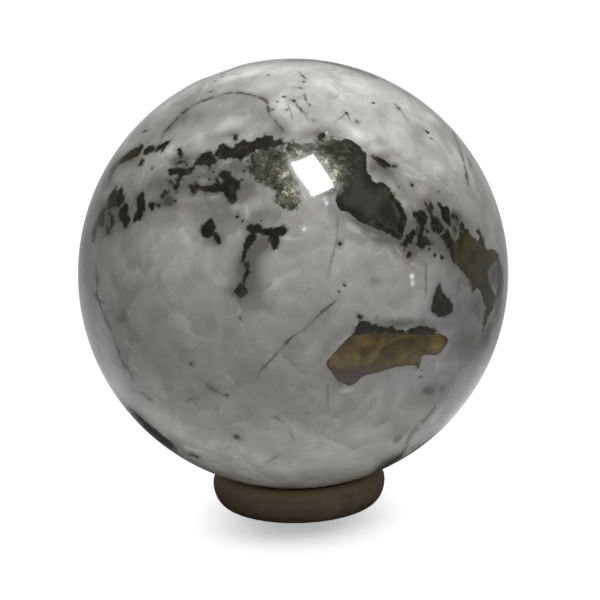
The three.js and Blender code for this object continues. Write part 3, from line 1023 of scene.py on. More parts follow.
# Most are glassy zones, but those at the left and right sides are painted shade, darker where less light
# falls.
GLASS_AND_PAINTED_SHADE = [
    (230, 106, 50, 10, -14, 0.15), (238, 97, 30, 4, -4, 0.25), (242, 114, 30, 10, -10, 0.2),
    (270, 97, 14, 6, 0, 0.15), (300, 112, 12, 8, 0, 0.25), (384, 112, 16, 10, 20, 0.15),
    (149, 138, 22, 5, -48, 0.2), (175, 124, 22, 6, -46, 0.3), (178, 158, 7, 5, 0, 0.35),
    (230, 134, 16, 4, -12, 0.4), (272, 126, 10, 20, -35, 0.5), (284, 128, 8, 8, 0, 0.3),
    (320, 132, 26, 7, 0, 0.5), (379, 142, 7, 6, 0, 0.5), (420, 132, 8, 8, 0, 0.3),
    (130, 160, 14, 5, -30, 0.3), (154, 180, 13, 12, 0, 0.35), (182, 162, 12, 9, 0, 0.4),
    (194, 184, 36, 24, -12, 0.65), (210, 172, 10, 10, 0, 0.2), (235, 164, 9, 5, 0, 0.5),
    (240, 168, 12, 6, 20, 0.3), (248, 188, 16, 16, 0, 0.55), (328, 192, 8, 4, 0, 0.5),
    (372, 168, 6, 6, 0, 0.4), (384, 164, 12, 30, -30, 0.5), (388, 172, 8, 14, -20, 0.25),
    (440, 196, 20, 10, 10, 0.2), (112, 214, 30, 30, 0, 0.6), (164, 203, 12, 7, -10, 0.3),
    (215, 236, 10, 8, 0, 0.2), (236, 216, 60, 14, 0, 0.3), (265, 214, 18, 10, 0, 0.2),
    (330, 226, 8, 10, 0, 0.15), (370, 228, 36, 10, 28, 0.6), (390, 216, 14, 10, 0, 0.2),
    (408, 232, 6, 8, 0, 0.4), (430, 226, 38, 26, 30, 0.6), (456, 220, 10, 9, 0, 0.4),
    (86, 262, 8, 28, 0, 0.2), (112, 268, 8, 14, 0, 0.1), (214, 242, 12, 7, 0, 0.4),
    (240, 268, 8, 12, 0, 0.25), (250, 268, 14, 38, 0, 0.6), (262, 244, 10, 12, 0, 0.25),
    (266, 243, 8, 9, 0, 0.45), (380, 240, 8, 8, 0, 0.4), (380, 270, 24, 30, 0, 0.1),
    (410, 240, 10, 14, 0, 0.25), (412, 272, 8, 14, 0, 0.2), (455, 262, 36, 14, 55, 0.35),
    (456, 244, 24, 30, 0, 0.1), (491, 274, 4, 14, 0, 1.2), (120, 318, 9, 8, 0, 0.25),
    (140, 288, 20, 14, 0, 0.2), (150, 300, 12, 40, -25, 0.1), (165, 312, 12, 10, 0, 0.2),
    (228, 290, 10, 6, 0, 0.3), (235, 300, 10, 16, 0, 0.15), (320, 318, 20, 8, -20, 0.15),
    (376, 281, 10, 5, 0, 0.25), (437, 300, 6, 8, 0, 0.2), (455, 300, 22, 44, 0, 0.3),
    (480, 304, 8, 12, 0, 0.3), (230, 330, 12, 8, 0, 0.12), (290, 330, 40, 30, 0, 0.06),
    (328, 346, 10, 16, 40, 0.1), (340, 334, 9, 26, 45, 0.25), (402, 323, 30, 6, 0, 0.6),
    (414, 356, 14, 10, 0, 0.2), (460, 355, 20, 26, 0, 0.2), (472, 353, 10, 16, 10, 0.25),
    (476, 340, 14, 40, 10, 0.2), (150, 368, 34, 16, 0, 0.2), (210, 390, 20, 10, 0, 0.15),
    (215, 388, 18, 8, 20, 0.2), (270, 390, 30, 24, 0, 0.1), (282, 378, 14, 24, 0, 0.15),
    (330, 375, 20, 10, 0, 0.12), (336, 378, 16, 10, 0, 0.15), (428, 388, 12, 10, 0, 0.2),
    (430, 398, 20, 16, 0, 0.15), (437, 392, 14, 12, 0, 0.12), (450, 388, 26, 14, -40, 0.25),
    (425, 428, 12, 9, -35, 0.15), (236, 440, 8, 8, 0, 0.12), (388, 458, 16, 8, -25, 0.2),
    (398, 440, 22, 9, -35, 0.25),
]
# Most are olive stain, but (155, 441) and (204, 467) are painted shade low on the left rim above the ring,
# and (388, 462) lies on the painted reflection of the ring low on the right.
STAIN_AND_PAINTED_SHADE = [
    (195, 105, 8, 2, -30, 0.4), (124, 158, 7, 4, -38, 0.8), (134, 150, 9, 4, -30, 0.6),
    (176, 120, 11, 2.6, -46, 0.6), (182, 158, 5, 4, 0, 0.3), (281, 154, 8, 6, 0, 0.6),
    (304, 138, 16, 4, 0, 0.4), (318, 134, 14, 4, 0, 0.5), (444, 153, 6, 7, 0, 0.2),
    (96, 196, 5, 18, 22, 0.4), (109.6, 179, 2.4, 7, 20, 0.6), (114, 168, 4, 9, 35, 0.9),
    (164, 182, 8, 6, 0, 0.45), (178, 190, 8, 4, 0, 0.4), (190, 160, 5, 3, 0, 0.4),
    (200, 174, 12, 6, 0, 0.3), (215, 168, 8, 5, 0, 0.3), (244, 170, 8, 12, 0, 0.45),
    (296, 183, 4, 5, 0, 0.9), (330, 193.6, 5, 2, 0, 0.7), (404, 160, 9, 5, 10, 0.25),
    (466, 180, 6, 12, 0, 0.2), (91, 236, 5, 9, 8, 0.6), (100, 219.6, 4, 8, 8, 0.9),
    (105, 229, 3, 8, 10, 0.5), (110, 200, 4, 7, 15, 0.9), (130, 205, 20, 5, -70, 0.35),
    (169, 201, 6, 6, 0, 1.6), (388, 212, 13, 14, 0, 1), (400, 226, 8, 10, 0, 0.3),
    (436, 212, 5, 8, 0, 0.5), (455, 231, 4, 9, 0, 0.8), (456, 216, 6, 9, -35, 0.7),
    (252, 252, 5, 8, 0, 0.6), (404, 250, 12, 8, 0, 0.3), (494, 274, 4, 10, 0, 0.9),
    (122, 319, 11, 10, 0, 0.5), (241, 303, 8, 7, 0, 0.45), (377, 318, 4, 5, 0, 0.7),
    (498, 306, 4, 20, 4, 1), (499.6, 280, 4.4, 20, 0, 1.3), (392, 321, 5, 4, 0, 0.6),
    (410.4, 321.6, 5, 4, 0, 0.6), (424, 320.6, 3, 4, 0, 0.6), (480, 350, 5, 22, 10, 0.5),
    (488, 334, 5, 20, 12, 0.9), (191, 364, 3.4, 3, 0, 0.4), (211, 389, 8, 4, 15, 0.7),
    (243, 388, 4, 3, 0, 0.35), (428.4, 390.4, 5.4, 4, -15, 2), (442, 389, 3.2, 4.4, 20, 1.2),
    (449, 383.4, 5, 2, -45, 0.5), (471, 370, 4, 7, 20, 0.5), (397.4, 439, 5.4, 3, -35, 1.7),
    (434.5, 408, 3, 2.4, 0, 0.5), (155, 441, 26, 3, 37, 0.3), (204, 467, 22, 3, 28, 0.35),
    (388, 462, 18, 5, -33, 1.1),
]
PURPLE = [
    (387, 334, 18, 6, 0, 0.9), (351, 374, 13, 10, 0, 1.1), (371, 367, 14, 5, -14, 0.8),
]
COOL = [
    (225, 166, 18, 10, 0, 0.4), (330, 205, 16, 12, 0, 0.5), (380, 300, 30, 14, 0, 0.3),
    (450, 310, 30, 40, 0, 0.8), (318, 345, 24, 16, -40, 0.35), (411, 380, 50, 18, -8, 0.5),
    (330, 482, 50, 12, 0, 0.3),
]
# Painted glints: these clouds lift mica flakes to cream and gold to a paler gold, where flakes would flash
# the lamp.
SPARKLE = [
    (297, 153, 12, 5, -25, 0.8), (330, 145, 12, 5, 0, -0.1), (256, 169, 9, 6, 0, -0.1),
    (284, 196, 9, 9, 0, 0.4), (286, 174, 10, 13, 0, 1), (295, 194.6, 5, 8, 0, 0.9),
    (326, 160, 10, 6, 50, 0.7), (334, 176, 6, 10, 20, 0.8), (355, 162, 11, 24, 0, -0.3),
    (334, 357, 6, 6, 0, 0.8), (364, 343, 12, 6, 10, 0.6), (402, 356, 7, 10, 0, 0.5),
    (436, 346, 9, 9, 0, 1),
]
PEPPER = [
    (305, 96, 26, 24, 0, 0.25), (250, 150, 30, 16, 0, 0.5), (320, 140, 30, 8, 0, 0.6),
    (178, 176, 14, 20, 20, 0.9), (205, 172, 24, 16, -20, 0.5), (400, 182, 16, 10, 0, 0.2),
    (120, 200, 26, 22, 30, 0.3), (420, 236, 24, 18, 0, 0.75), (440, 212, 20, 16, 30, 0.6),
    (460, 225, 12, 12, 0, 0.5), (245, 262, 10, 24, 0, 0.3), (385, 322, 34, 6, 0, 0.5),
]


def gathered(clouds):
    """The sum of clouds, each given by its middle, half sizes, lean in degrees and strength."""
    return sum(strength * front.cloud(*shape) for *shape, strength in clouds)


milk_and_painted_light = gathered(MILK_AND_PAINTED_LIGHT) - gathered(GLASS_AND_PAINTED_SHADE)
stain_and_painted_shade = np.clip(gathered(STAIN_AND_PAINTED_SHADE), 0, 1)
cool = gathered(COOL)
purple = gathered(PURPLE)
sparkle = gathered(SPARKLE)
pepper = gathered(PEPPER)
print("clouds:", len(MILK_AND_PAINTED_LIGHT) + len(GLASS_AND_PAINTED_SHADE), "of milk and glass,", len(STAIN_AND_PAINTED_SHADE), "of stain")

# %% [markdown]
# The photograph doesn't show the back, so it is finished in keeping and plainer. The belt is a sheet inside
# the stone, and it comes out behind as well, lower down: loose grains strewn along a line from rim to rim.

# %% Belt and patches on the hidden side
BACK_BELT = [(82, -26), (52, -8), (26, 8), (0, 14), (-26, 16), (-50, 10), (-84, 0)]
GOLD_BEHIND = [
    [(-38, -30, 1.4), (-31, -32, 3.4), (-25, -30.4, 2.8), (-18, -33, 4.2), (-12, -32, 2)],
    [(-20, -30, 3), (-17, -26, 1.6), (-16, -22, 0.7)],
]
MICA_BEHIND = [
    [(4, 16, 1.6), (9, 13.6, 3.4), (14, 15, 2.6), (19, 11.4, 4.4), (25, 12, 2.4), (29, 9.6, 1)],
    [(17, 13, 3.2), (19.6, 18.4, 2.4), (18.4, 22.6, 1)],
]
GRAINS_BEHIND = 110
BELT_SPREAD = 3.4
HALF_WIDTHS = (0.35, 1.5)
GRAIN_REACH = 1.2
GRAIN_TAPER = 0.8
rng = np.random.default_rng(7)
belt_line = np.array(BACK_BELT, float)
for _ in range(GRAINS_BEHIND):
    at = rng.uniform(0, len(belt_line) - 1)
    start = int(at)
    middle = belt_line[start] + (belt_line[start + 1] - belt_line[start]) * (at - start)
    x, y = middle + rng.normal(0, BELT_SPREAD, 2)
    size = rng.uniform(*HALF_WIDTHS)
    lean = rng.uniform(-GRAIN_REACH, GRAIN_REACH, 2)
    end = (x + lean[0], y + lean[1], size * GRAIN_TAPER)
    black = np.minimum(black, back.stroke((x, y, size), end))
for dabs in GOLD_BEHIND:
    gold = np.minimum(gold, back.stroke(*dabs))
for dabs in MICA_BEHIND:
    sparkling_mica = np.minimum(sparkling_mica, back.stroke(*dabs))
print("black on", int((black < 0).sum()), "points")

# %% [markdown]
# Mica and black grains are softer than feldspar, so the polishing wheel leaves them a trace lower. That
# step is real relief of about a hundredth of a millimetre, and it breaks a reflection at their edges. Then
# the mesh keeps every distance and cloud, for the material to read.

# %% Relief that the polish leaves
MICA_SINK = 0.015  # millimetres
GRAIN_SINK = 0.01
SINK_BLEND = 1.0  # millimetres over which the surface dips


def share_inside(distance):
    return np.clip(0.5 - distance / SINK_BLEND, 0, 1)


sink = MICA_SINK * share_inside(sparkling_mica) + GRAIN_SINK * share_inside(black)
places -= outwards * (sink * MM)[:, None]
stone.data.vertices.foreach_set("co", places.astype(np.float32).ravel())
stone.data.update()
for name, values in {
    "black": black,
    "speck_way": speck_way,
    "speck_size": speck_size,
    "crack_side": crack_side,
    "crack_width": crack_width,
    "seam_and_glint_side": seam_and_glint_side,
    "seam_and_glint_width": seam_and_glint_width,
    "mica": sparkling_mica,
    "lens": dark_lens,
    "gold": gold,
    "brown": brown,
    "milk_and_painted_light": milk_and_painted_light,
    "stain_and_painted_shade": stain_and_painted_shade,
    "cool": cool,
    "purple": purple,
    "sparkle": sparkle,
    "pepper": pepper,
}.items():
    keep_values(stone.data, name, values)
print("deepest sink", round(float(sink.max()), 3), "mm")

# %% [markdown]
# The materials work in millimetres of Object space, so a grain of one millimetre is one millimetre on any
# piece. A few short helpers name the patterns: soft noise, cells, and the inside of an edge.


# %% Helpers for the materials
SOFT_CELLS = "SMOOTH_F1"
CELL_SMOOTHNESS = 0.2


def paint(red, green, blue):
    """A colour as seen in a photograph, 0 to 255, turned into the linear light that shaders use."""
    shares = [channel / 255 for channel in (red, green, blue)]
    return tuple(s / 12.92 if s < 0.04045 else ((s + 0.055) / 1.055) ** 2.4 for s in shares)


def noise(place, size, detail=2.0, roughness=0.5, output="Fac"):
    """Soft noise whose features are about that many millimetres wide."""
    inputs = {"Vector": place, "Scale": 1 / size, "Detail": detail, "Roughness": roughness}
    return place.node("ShaderNodeTexNoise", output, inputs=inputs)


def cells(place, size, output="Color", feature="F1"):
    """Cells of about that many millimetres. Only the smooth feature uses the smoothness."""
    inputs = {"Vector": place, "Scale": 1 / size}
    if feature == SOFT_CELLS:
        inputs["Smoothness"] = CELL_SMOOTHNESS
    return place.node("ShaderNodeTexVoronoi", output, {"feature": feature}, inputs)


def between(value, low, high):
    """A smooth rise from 0 at low to 1 at high, or a fall where low is above high."""
    inputs = {"Value": value, 1: low, 2: high}
    return value.node("ShaderNodeMapRange", 0, {"interpolation_type": "SMOOTHSTEP"}, inputs)


def inside(distance, softness=0.2):
    """One inside an edge, nothing outside it."""
    return between(distance, softness, -softness)


def blend(factor, first, second, mode="MIX"):
    """Two colours mixed. A plain colour is three numbers."""
    settings = {"data_type": "RGBA", "blend_type": mode}
    inputs = {0: factor, 6: first, 7: second}
    inputs = {key: (*value, 1) if isinstance(value, tuple) else value for key, value in inputs.items()}
    return factor.node("ShaderNodeMix", 2, settings, inputs)


def ramp(value, *stops):
    return value.node("ShaderNodeValToRGB", 0, {"stops": stops}, {0: value})


def kept(wire, name, output="Fac"):
    """A value that the mesh keeps under a name."""
    return wire.node("ShaderNodeAttribute", output, {"attribute_name": name})


def start_material(material):
    """Clears a material, and gives a first wire and the place on the piece in millimetres."""
    material.use_nodes = True
    material.node_tree.nodes.clear()
    here = Wire(material.node_tree)
    return here, here.node("ShaderNodeTexCoord", "Object").scaled(1 / MM)


def finish_material(here, constants, **links):
    """Ends a material: constants are set on the shader's own sockets, and what varies is linked."""
    shader = here.node("ShaderNodeBsdfPrincipled", inputs={**constants, **links})
    output = here.tree.nodes.new("ShaderNodeOutputMaterial")
    here.tree.links.new(shader.socket, output.inputs["Surface"])


# %% [markdown]
# The stone's body comes first. Feldspar splits along flat planes, so the zones under the polish are angular
# and overlap like flakes. Bent cells of two sizes give that, with a few pale lines where flakes meet, and
# the clouds move the balance between milky and glassy, with painted light at the top and painted shade at
# the sides.


# %% The stone's body
BODY_TONES = (
    (0.0, paint(98, 96, 91)),
    (0.25, paint(131, 129, 125)),
    (0.5, paint(158, 157, 153)),
    (0.75, paint(193, 192, 189)),
    (1.0, paint(234, 233, 231)),
)
MIDDLE_TONE = 0.465
LARGE_FLAKE = 12  # millimetres
SMALL_FLAKE = 5


def bent(here, spot, size, amount):
    """The place pushed about by soft noise, so that straight cells become crooked flakes."""
    push = here.vector("SUBTRACT", noise(spot, size, 3, 0.6, "Color"), (0.5, 0.5, 0.5))
    return here.vector("ADD", spot, push.scaled(amount))


def panes(place, size, lean, feature="F1"):
    """Overlapping flakes: each has a tone of its own, and fades from one side to the other."""
    tone = cells(place, size, feature=feature).part("X") - 0.5
    within = place.vector("SUBTRACT", place, cells(place, size, "Position", feature))
    return tone + place.vector("DOT_PRODUCT", within, lean, output="Value") / size


def stone_body(here, spot):
    """The colour of the plain stone, before any other mineral."""
    crooked = bent(here, spot, 14, 16)
    crooked_fine = bent(here, spot, 4, 5)
    large = panes(crooked, LARGE_FLAKE, (0.5, 0.3, 0.6), SOFT_CELLS)
    split = between(noise(spot, 9), 0.46, 0.62)
    small = panes(crooked_fine, SMALL_FLAKE, (-0.5, 0.0, 0.7)) * split
    mottled = (noise(spot, 8, 4, 0.6) - 0.5) * 0.55 + (noise(spot, 0.8) - 0.5) * 0.04
    rims = between(cells(crooked, LARGE_FLAKE, "Distance", "DISTANCE_TO_EDGE"), 0.05, 0.0)
    rims = rims * between(noise(spot, 5), 0.52, 0.66)
    # The milk value holds painted light too: lighter at the top, painted shade at the sides, and a few
    # painted glints.
    tone = MIDDLE_TONE + large * 0.14 + small * 0.09 + mottled + kept(here, "milk_and_painted_light") * 0.8 + rims * 0.06
    colour = ramp(tone, *BODY_TONES)
    warm = between(noise(spot, 9), 0.54, 0.72) * 0.4
    colour = blend(warm, colour, paint(248, 241, 235), "MULTIPLY")
    return blend(between(kept(here, "cool"), 0.1, 1.0), colour, paint(236, 242, 255), "MULTIPLY")


# %% [markdown]
# The sparkling mica is a crust of thin flakes about one millimetre across, with finer scales on them. Every
# cell of two fine patterns gets its own tone, and the sparkle clouds lift single flakes to cream as painted
# glints, where they would flash the lamp. The lens, the gold and the brown are smooth, with soft zones
# inside and a darker edge.


# %% The other minerals
MICA_FLAKE = 1.1
MICA_SCALE = 0.5
GOLD_FLAKE = 4


def mica_colour(here, spot):
    """Dark olive flakes, and cream ones painted as glints where the mica sparkles."""
    crooked = bent(here, spot, 1.5, 1.2)
    flake = cells(crooked, MICA_FLAKE).part("X") * 0.5 + cells(crooked, MICA_SCALE).part("X") * 0.4
    flake = flake * 0.8 + (noise(spot, 3) - 0.5) * 0.4 + kept(here, "sparkle") * 0.5
    return ramp(
        flake,
        (0.1, paint(36, 35, 29)),
        (0.35, paint(54, 53, 45)),
        (0.6, paint(82, 81, 70)),
        (0.8, paint(118, 117, 103)),
        (1.0, paint(186, 184, 166)),
    )


def gold_colour(here, spot):
    """Golden brown with soft lighter zones, and purplish where it is thin."""
    crooked = bent(here, spot, 4, 3)
    zones = panes(crooked, GOLD_FLAKE, (0.5, 0.0, -0.6), SOFT_CELLS) * 0.5 + noise(crooked, GOLD_FLAKE)
    base = ramp(
        zones,
        (0.25, paint(64, 52, 31)),
        (0.5, paint(80, 66, 36)),
        (0.75, paint(102, 86, 48)),
    )
    # Painted glints: paler gold where the sparkle clouds lie.
    base = blend(between(kept(here, "sparkle"), 0.0, 1.0) * 0.7, base, paint(118, 99, 55))
    thin = kept(here, "purple") + (noise(spot, 4) - 0.5) * 0.8
    base = blend(between(thin, 0.1, 1.0) * 0.9, base, paint(66, 56, 47))
    edge = between(kept(here, "gold"), -0.6, -0.05)
    return blend(edge * 0.7, base, paint(46, 39, 28))


def brown_colour(here, spot):
    """Dark brown and olive in soft patches, and nearly black at its edge."""
    mottled = noise(bent(here, spot, 3, 3), 3.4, 3, 0.6)
    base = ramp(
        mottled,
        (0.34, paint(36, 35, 21)),
        (0.5, paint(50, 46, 27)),
        (0.64, paint(62, 53, 34)),
    )
    edge = between(kept(here, "brown"), -1.0, 0.0)
    return blend(edge * 0.7, base, paint(32, 30, 23))


def lens_colour(here, spot):
    """Nearly black at the rim, grey green in the middle."""
    depth = kept(here, "lens") + (noise(spot, 2.6, 5, 0.65) - 0.5) * 6
    green = ramp(
        between(depth, -0.2, -3.6),
        (0.0, paint(32, 32, 27)),
        (0.55, paint(46, 47, 40)),
        (1.0, paint(54, 56, 49)),
    )
    streaks = noise(here.vector("MULTIPLY", spot, (1.0, 1.0, 0.4)), 1.0, 3, 0.6)
    green = blend(between(kept(here, "stain_and_painted_shade"), 0.2, 0.9), green, paint(36, 36, 31))
    return blend(between(streaks, 0.55, 0.75) * 0.4, green, paint(70, 67, 52))


# %% [markdown]
# The finish draws each mineral over the one below it. All edges are pushed about by the same ragged noise,
# because real grains end in steps and corners of a tenth of a millimetre. Cracks, pale seams and the few
# painted glints drawn with the seams are worn: they come and go along their length. The gloss follows the
# minerals: feldspar takes the best polish, the black grains the worst.


# %% The stone's finish
DUST_CELL = 1.4
POLISH = 0.06
DULLER_MICA = 0.04
DULLER_GRAINS = 0.08


def with_stain_and_painted_shade(here, spot, colour):
    """Olive stain that seeps round the grains, and painted shade low on the ball by the ring."""
    stain_and_painted_shade = kept(here, "stain_and_painted_shade") + (noise(spot, 2, 4, 0.65) - 0.5) * 1.1
    return blend(between(stain_and_painted_shade, 0.25, 1.1) * 0.85, colour, paint(64, 62, 53))


def with_cracks(here, ragged, worn, colour):
    """Dark cracks, each in a soft grey halo."""
    half_width = kept(here, "crack_width") * (0.35 + worn * 0.65)
    crack = abs(kept(here, "crack_side") + ragged * 0.25) - half_width
    colour = blend(inside(crack - 0.25, 0.6) * 0.35, colour, paint(98, 95, 88))
    return blend(inside(crack, 0.18) * (0.3 + worn * 0.5), colour, paint(64, 61, 53))


def with_seams_and_glints(here, ragged, worn, colour):
    """Pale seams, and a few painted glints drawn the same way, which lighten what lies under them."""
    seam_and_glint = abs(kept(here, "seam_and_glint_side") + ragged * 0.3) - kept(here, "seam_and_glint_width") * 0.7
    return colour.scaled(1 + inside(seam_and_glint, 0.3) * worn * 0.55)


def to_nearest_grain(here, spot, ragged):
    """How far the nearest black grain, speck or speck of dust is, in millimetres, negative inside it."""
    speck = here.vector("LENGTH", kept(here, "speck_way", "Vector"), output="Value")
    speck = speck - kept(here, "speck_size") + ragged * 0.25
    drawn = here.math("MINIMUM", kept(here, "black") + ragged, speck)
    chance = cells(spot, DUST_CELL).part("Y") + 1.08 - kept(here, "pepper") * 0.5
    dust = cells(spot, DUST_CELL, "Distance") * DUST_CELL - 0.3 + between(chance, 0.85, 1.0) * 2
    return here.math("MINIMUM", drawn, dust)


def finish_stone(material):
    here, spot = start_material(material)
    ragged = (noise(spot, 1.1, 4, 0.7) - 0.5) * 2.0
    worn = between(noise(spot, 2.4), 0.4, 0.56)
    colour = with_stain_and_painted_shade(here, spot, stone_body(here, spot))
    colour = with_cracks(here, ragged, worn, colour)
    gold = inside(kept(here, "gold") + ragged * 0.3)
    colour = blend(gold, colour, gold_colour(here, spot))
    brown = inside(kept(here, "brown") + ragged * 0.8, 0.3)
    colour = blend(brown, colour, brown_colour(here, spot))
    colour = with_seams_and_glints(here, ragged, worn, colour)
    lens = inside(kept(here, "lens") + ragged * 0.4)
    colour = blend(lens, colour, lens_colour(here, spot))
    mica = inside(kept(here, "mica") + ragged * 2.2, 0.8)
    colour = blend(mica, colour, mica_colour(here, spot))
    to_grain = to_nearest_grain(here, spot, ragged)
    halo = between(to_grain, 1.3, 0.0) * between(noise(spot, 2.5), 0.35, 0.65)
    colour = blend(halo * 0.5, colour, paint(84, 82, 74))
    black = inside(to_grain, 0.28)
    grain = ramp(
        noise(spot, 1.6, 3, 0.6),
        (0.35, paint(27, 27, 22)),
        (0.55, paint(37, 35, 28)),
        (0.7, paint(57, 53, 44)),
    )
    colour = blend(black, colour, grain)
    roughness = POLISH + mica * DULLER_MICA + black * DULLER_GRAINS
    finish_material(here, {"IOR": 1.53}, **{"Base Color": colour, "Roughness": roughness})


finish_stone(feldspar)
print("stone finish of", len(feldspar.node_tree.nodes), "nodes")

# %% [markdown]
# The ring is stained dark and waxed. Its grain runs straight through the blank, so it shows as long streaks
# on the sides and as short flecks on the end grain. The lip is painted paler towards its top, as painted
# light against the shade that the ball casts on it. The wax leaves a satin gloss that is duller in the
# pores.


# %% The wood's finish
LIP_PAINTED_LIGHT_HEIGHTS = (5.4, 7.6)  # millimetres above the foot
PORE_DEPTH = 0.02 * MM
WAXED = 0.56


def finish_wood(material):
    here, spot = start_material(material)
    drawn_out = here.vector("MULTIPLY", bent(here, spot, 12, 1.5), (0.12, 1.0, 1.0))
    streaks = noise(drawn_out, 1.6, 4, 0.6)
    pores = noise(here.vector("MULTIPLY", spot, (0.1, 1.0, 1.0)), 0.22, 2, 0.6)
    colour = ramp(
        streaks,
        (0.3, paint(96, 81, 61)),
        (0.5, paint(108, 92, 70)),
        (0.72, paint(122, 105, 81)),
    )
    open_pores = between(pores, 0.58, 0.7)
    colour = blend(open_pores * 0.35, colour, paint(56, 46, 36))
    # Painted light: the lip is lighter towards its top, against the shade that the ball casts on it.
    painted_light_on_lip = between(spot.part("Z"), *LIP_PAINTED_LIGHT_HEIGHTS) * 0.75
    colour = blend(painted_light_on_lip, colour, paint(164, 144, 113))
    relief = streaks * 0.3 - open_pores
    pressed = {"Strength": 0.3, "Distance": PORE_DEPTH, "Height": relief}
    bump = here.node("ShaderNodeBump", inputs=pressed)
    roughness = WAXED + (streaks + open_pores) * 0.15
    finish_material(here, {"IOR": 1.48}, **{"Base Color": colour, "Roughness": roughness, "Normal": bump})


finish_wood(wood)
print("wood finish of", len(wood.node_tree.nodes), "nodes")

# %% [markdown]
# The photograph shows one bright window above the ball, and its reflection has four clear corners. Each
# corner's ray is mirrored by the ball, and that gives the place, size and turn of a rectangular lamp which
# makes the same reflection and the same soft shading.

# %% The window light
WINDOW_CORNERS = ((289, 164), (313, 153), (336, 186), (313, 197))
LAMP_DISTANCE = 0.9
LAMP_RADIANCE = 46


def mirrored(x, y):
    """A point on the lamp's plane that the ball shows at this pixel."""
    ray, point = on_stone(x, y)
    normal = (point - STONE_CENTRE).normalized()
    return point + ray.reflect(normal) * LAMP_DISTANCE


near_left, far_left, far_right, near_right = [mirrored(*corner) for corner in WINDOW_CORNERS]
long_side = ((near_right - near_left) + (far_right - far_left)) / 2
short_side = ((far_left - near_left) + (far_right - near_right)) / 2
lamp_place = (near_left + far_left + far_right + near_right) / 4
away = (lamp_place - STONE_CENTRE).normalized()
along = (long_side - away * long_side.dot(away)).normalized()
lamp = bpy.data.objects.new("window_light", bpy.data.lights.new("window_light", "AREA"))
lamp.data.shape = "RECTANGLE"
lamp.data.size = long_side.length
lamp.data.size_y = short_side.length
lamp.data.energy = LAMP_RADIANCE * math.pi * lamp.data.size * lamp.data.size_y
lamp_turn = Matrix((along, away.cross(along), away)).transposed()
lamp.matrix_world = Matrix.Translation(lamp_place) @ lamp_turn.to_4x4()
bpy.context.scene.collection.objects.link(lamp)
print("lamp", round(lamp.data.size, 2), "by", round(lamp.data.size_y, 2), "m")

# %% [markdown]
# The stage is a plain pale floor in an even white studio. The floor that the camera sees is a thin veil, so
# that the lamp's shadow stays light, and it fades out into the backdrop. Only inside the ring is it opaque,
# because the backdrop would shine through the ring's bore. The card under it is hidden from the camera: it
# gives the floor's bounce, which lights the underside of the ball. What the ball mirrors is the room: pale
# low down, darker from eye level upwards, and darker on the right.

# %% Floor, backdrop and room
FLOOR_RADIUS = 0.1
VEIL = 0.6
VEIL_FADE = (44, 6)  # millimetres, from nothing to all of the veil
VEIL_STRETCH = 1.5
VEIL_FORWARD = 14.0
INSIDE_RING = (17, 15)
CARD_RADIUS = 0.2
CARD_DROP = 0.5 * MM
CARD_FADE = (150, 75)
BACKDROP_RADIUS = 6.0
BACKDROP_GLOW = 1.05
RIM_STEPS = 96
ROOM_TONES = ((0.0, 0.3), (0.4, 0.45), (0.5, 0.4), (0.56, 0.18), (0.66, 0.06), (1.0, 0.07))
DARKER_ON_THE_RIGHT = 0.4


def disc(name, radius, height):
    """A flat round disc, as one face."""
    turns = [math.tau * step / RIM_STEPS for step in range(RIM_STEPS)]
    mesh = bpy.data.meshes.new(name)
    rim = [(radius * math.cos(turn), radius * math.sin(turn), height) for turn in turns]
    mesh.from_pydata(rim, [], [range(RIM_STEPS)])
    made = bpy.data.objects.new(name, mesh)
    bpy.context.scene.collection.objects.link(made)
    return made


def matt_white(name, strength, ends, stretch=1.0, forward=0.0):
    """Dull white paper that fades out round a place in front of the middle, narrower across."""
    material = bpy.data.materials.new(name)
    here, spot = start_material(material)
    place = here.vector("MULTIPLY_ADD", spot, (stretch, 1.0, 1.0), (0.0, forward, 0.0))
    alpha = between(here.vector("LENGTH", place, output="Value"), *ends) * strength
    inside_ring = between(here.vector("LENGTH", spot, output="Value"), *INSIDE_RING)
    alpha = here.math("MAXIMUM", alpha, inside_ring)
    constants = {"Base Color": (0.8, 0.8, 0.8, 1), "Roughness": 0.9, "Specular IOR Level": 0.1}
    finish_material(here, constants, Alpha=alpha)
    return material


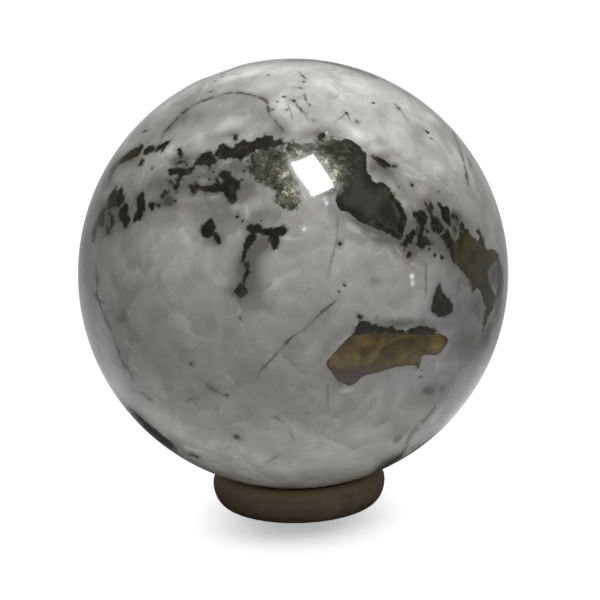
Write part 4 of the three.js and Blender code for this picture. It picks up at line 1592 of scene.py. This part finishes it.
def seen_by(piece, camera, others):
    """Whether the camera sees a piece, and whether light and reflections do."""
    piece.visible_camera = camera
    for kind in ("diffuse", "glossy", "transmission", "volume_scatter", "shadow"):
        setattr(piece, "visible_" + kind, others)


floor = disc("floor", FLOOR_RADIUS, 0)
veil = matt_white("pale_floor", VEIL, VEIL_FADE, VEIL_STRETCH, VEIL_FORWARD)
floor.data.materials.append(veil)
seen_by(floor, True, False)
card = disc("bounce_card", CARD_RADIUS, -CARD_DROP)
card.data.materials.append(matt_white("white_card", 1.0, CARD_FADE))
seen_by(card, False, True)

glowing = bpy.data.materials.new("white_backdrop")
glowing.use_nodes = True
glowing.node_tree.nodes.clear()
light = {"Color": (1, 1, 1, 1), "Strength": BACKDROP_GLOW}
glow = Wire(glowing.node_tree).node("ShaderNodeEmission", inputs=light)
leave = glowing.node_tree.nodes.new("ShaderNodeOutputMaterial")
glowing.node_tree.links.new(glow.socket, leave.inputs["Surface"])
bpy.ops.mesh.primitive_uv_sphere_add(radius=BACKDROP_RADIUS)
backdrop = bpy.context.object
backdrop.name = "backdrop"
backdrop.data.materials.append(glowing)
seen_by(backdrop, True, False)

room = bpy.data.worlds.new("room")
bpy.context.scene.world = room
room.use_nodes = True
room.node_tree.nodes.clear()
here = Wire(room.node_tree)
direction = here.node("ShaderNodeTexCoord", "Generated")
upwards = direction.part("Z") * 0.5 + 0.5
shade = ramp(upwards, *[(place, (grey, grey, grey)) for place, grey in ROOM_TONES])
shade = shade.scaled(1 - between(direction.part("X"), 0.1, 0.8) * DARKER_ON_THE_RIGHT)
lit = here.node("ShaderNodeBackground", inputs={"Color": shade, "Strength": 1.0})
leave = here.tree.nodes.new("ShaderNodeOutputWorld")
here.tree.links.new(lit.socket, leave.inputs["Surface"])
bpy.context.scene.view_settings.view_transform = "Standard"
print("stage set")

# %% [markdown]
# Both pieces belong to the one body of this object, and each stands for its node of the imported model,
# which is hidden.

# %% Tie the pieces to the frame
for piece, node, slot in ((stone, "stone_sphere", "feldspar"), (ring, "ring_stand", "stained_wood")):
    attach(piece, "root")
    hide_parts(node)
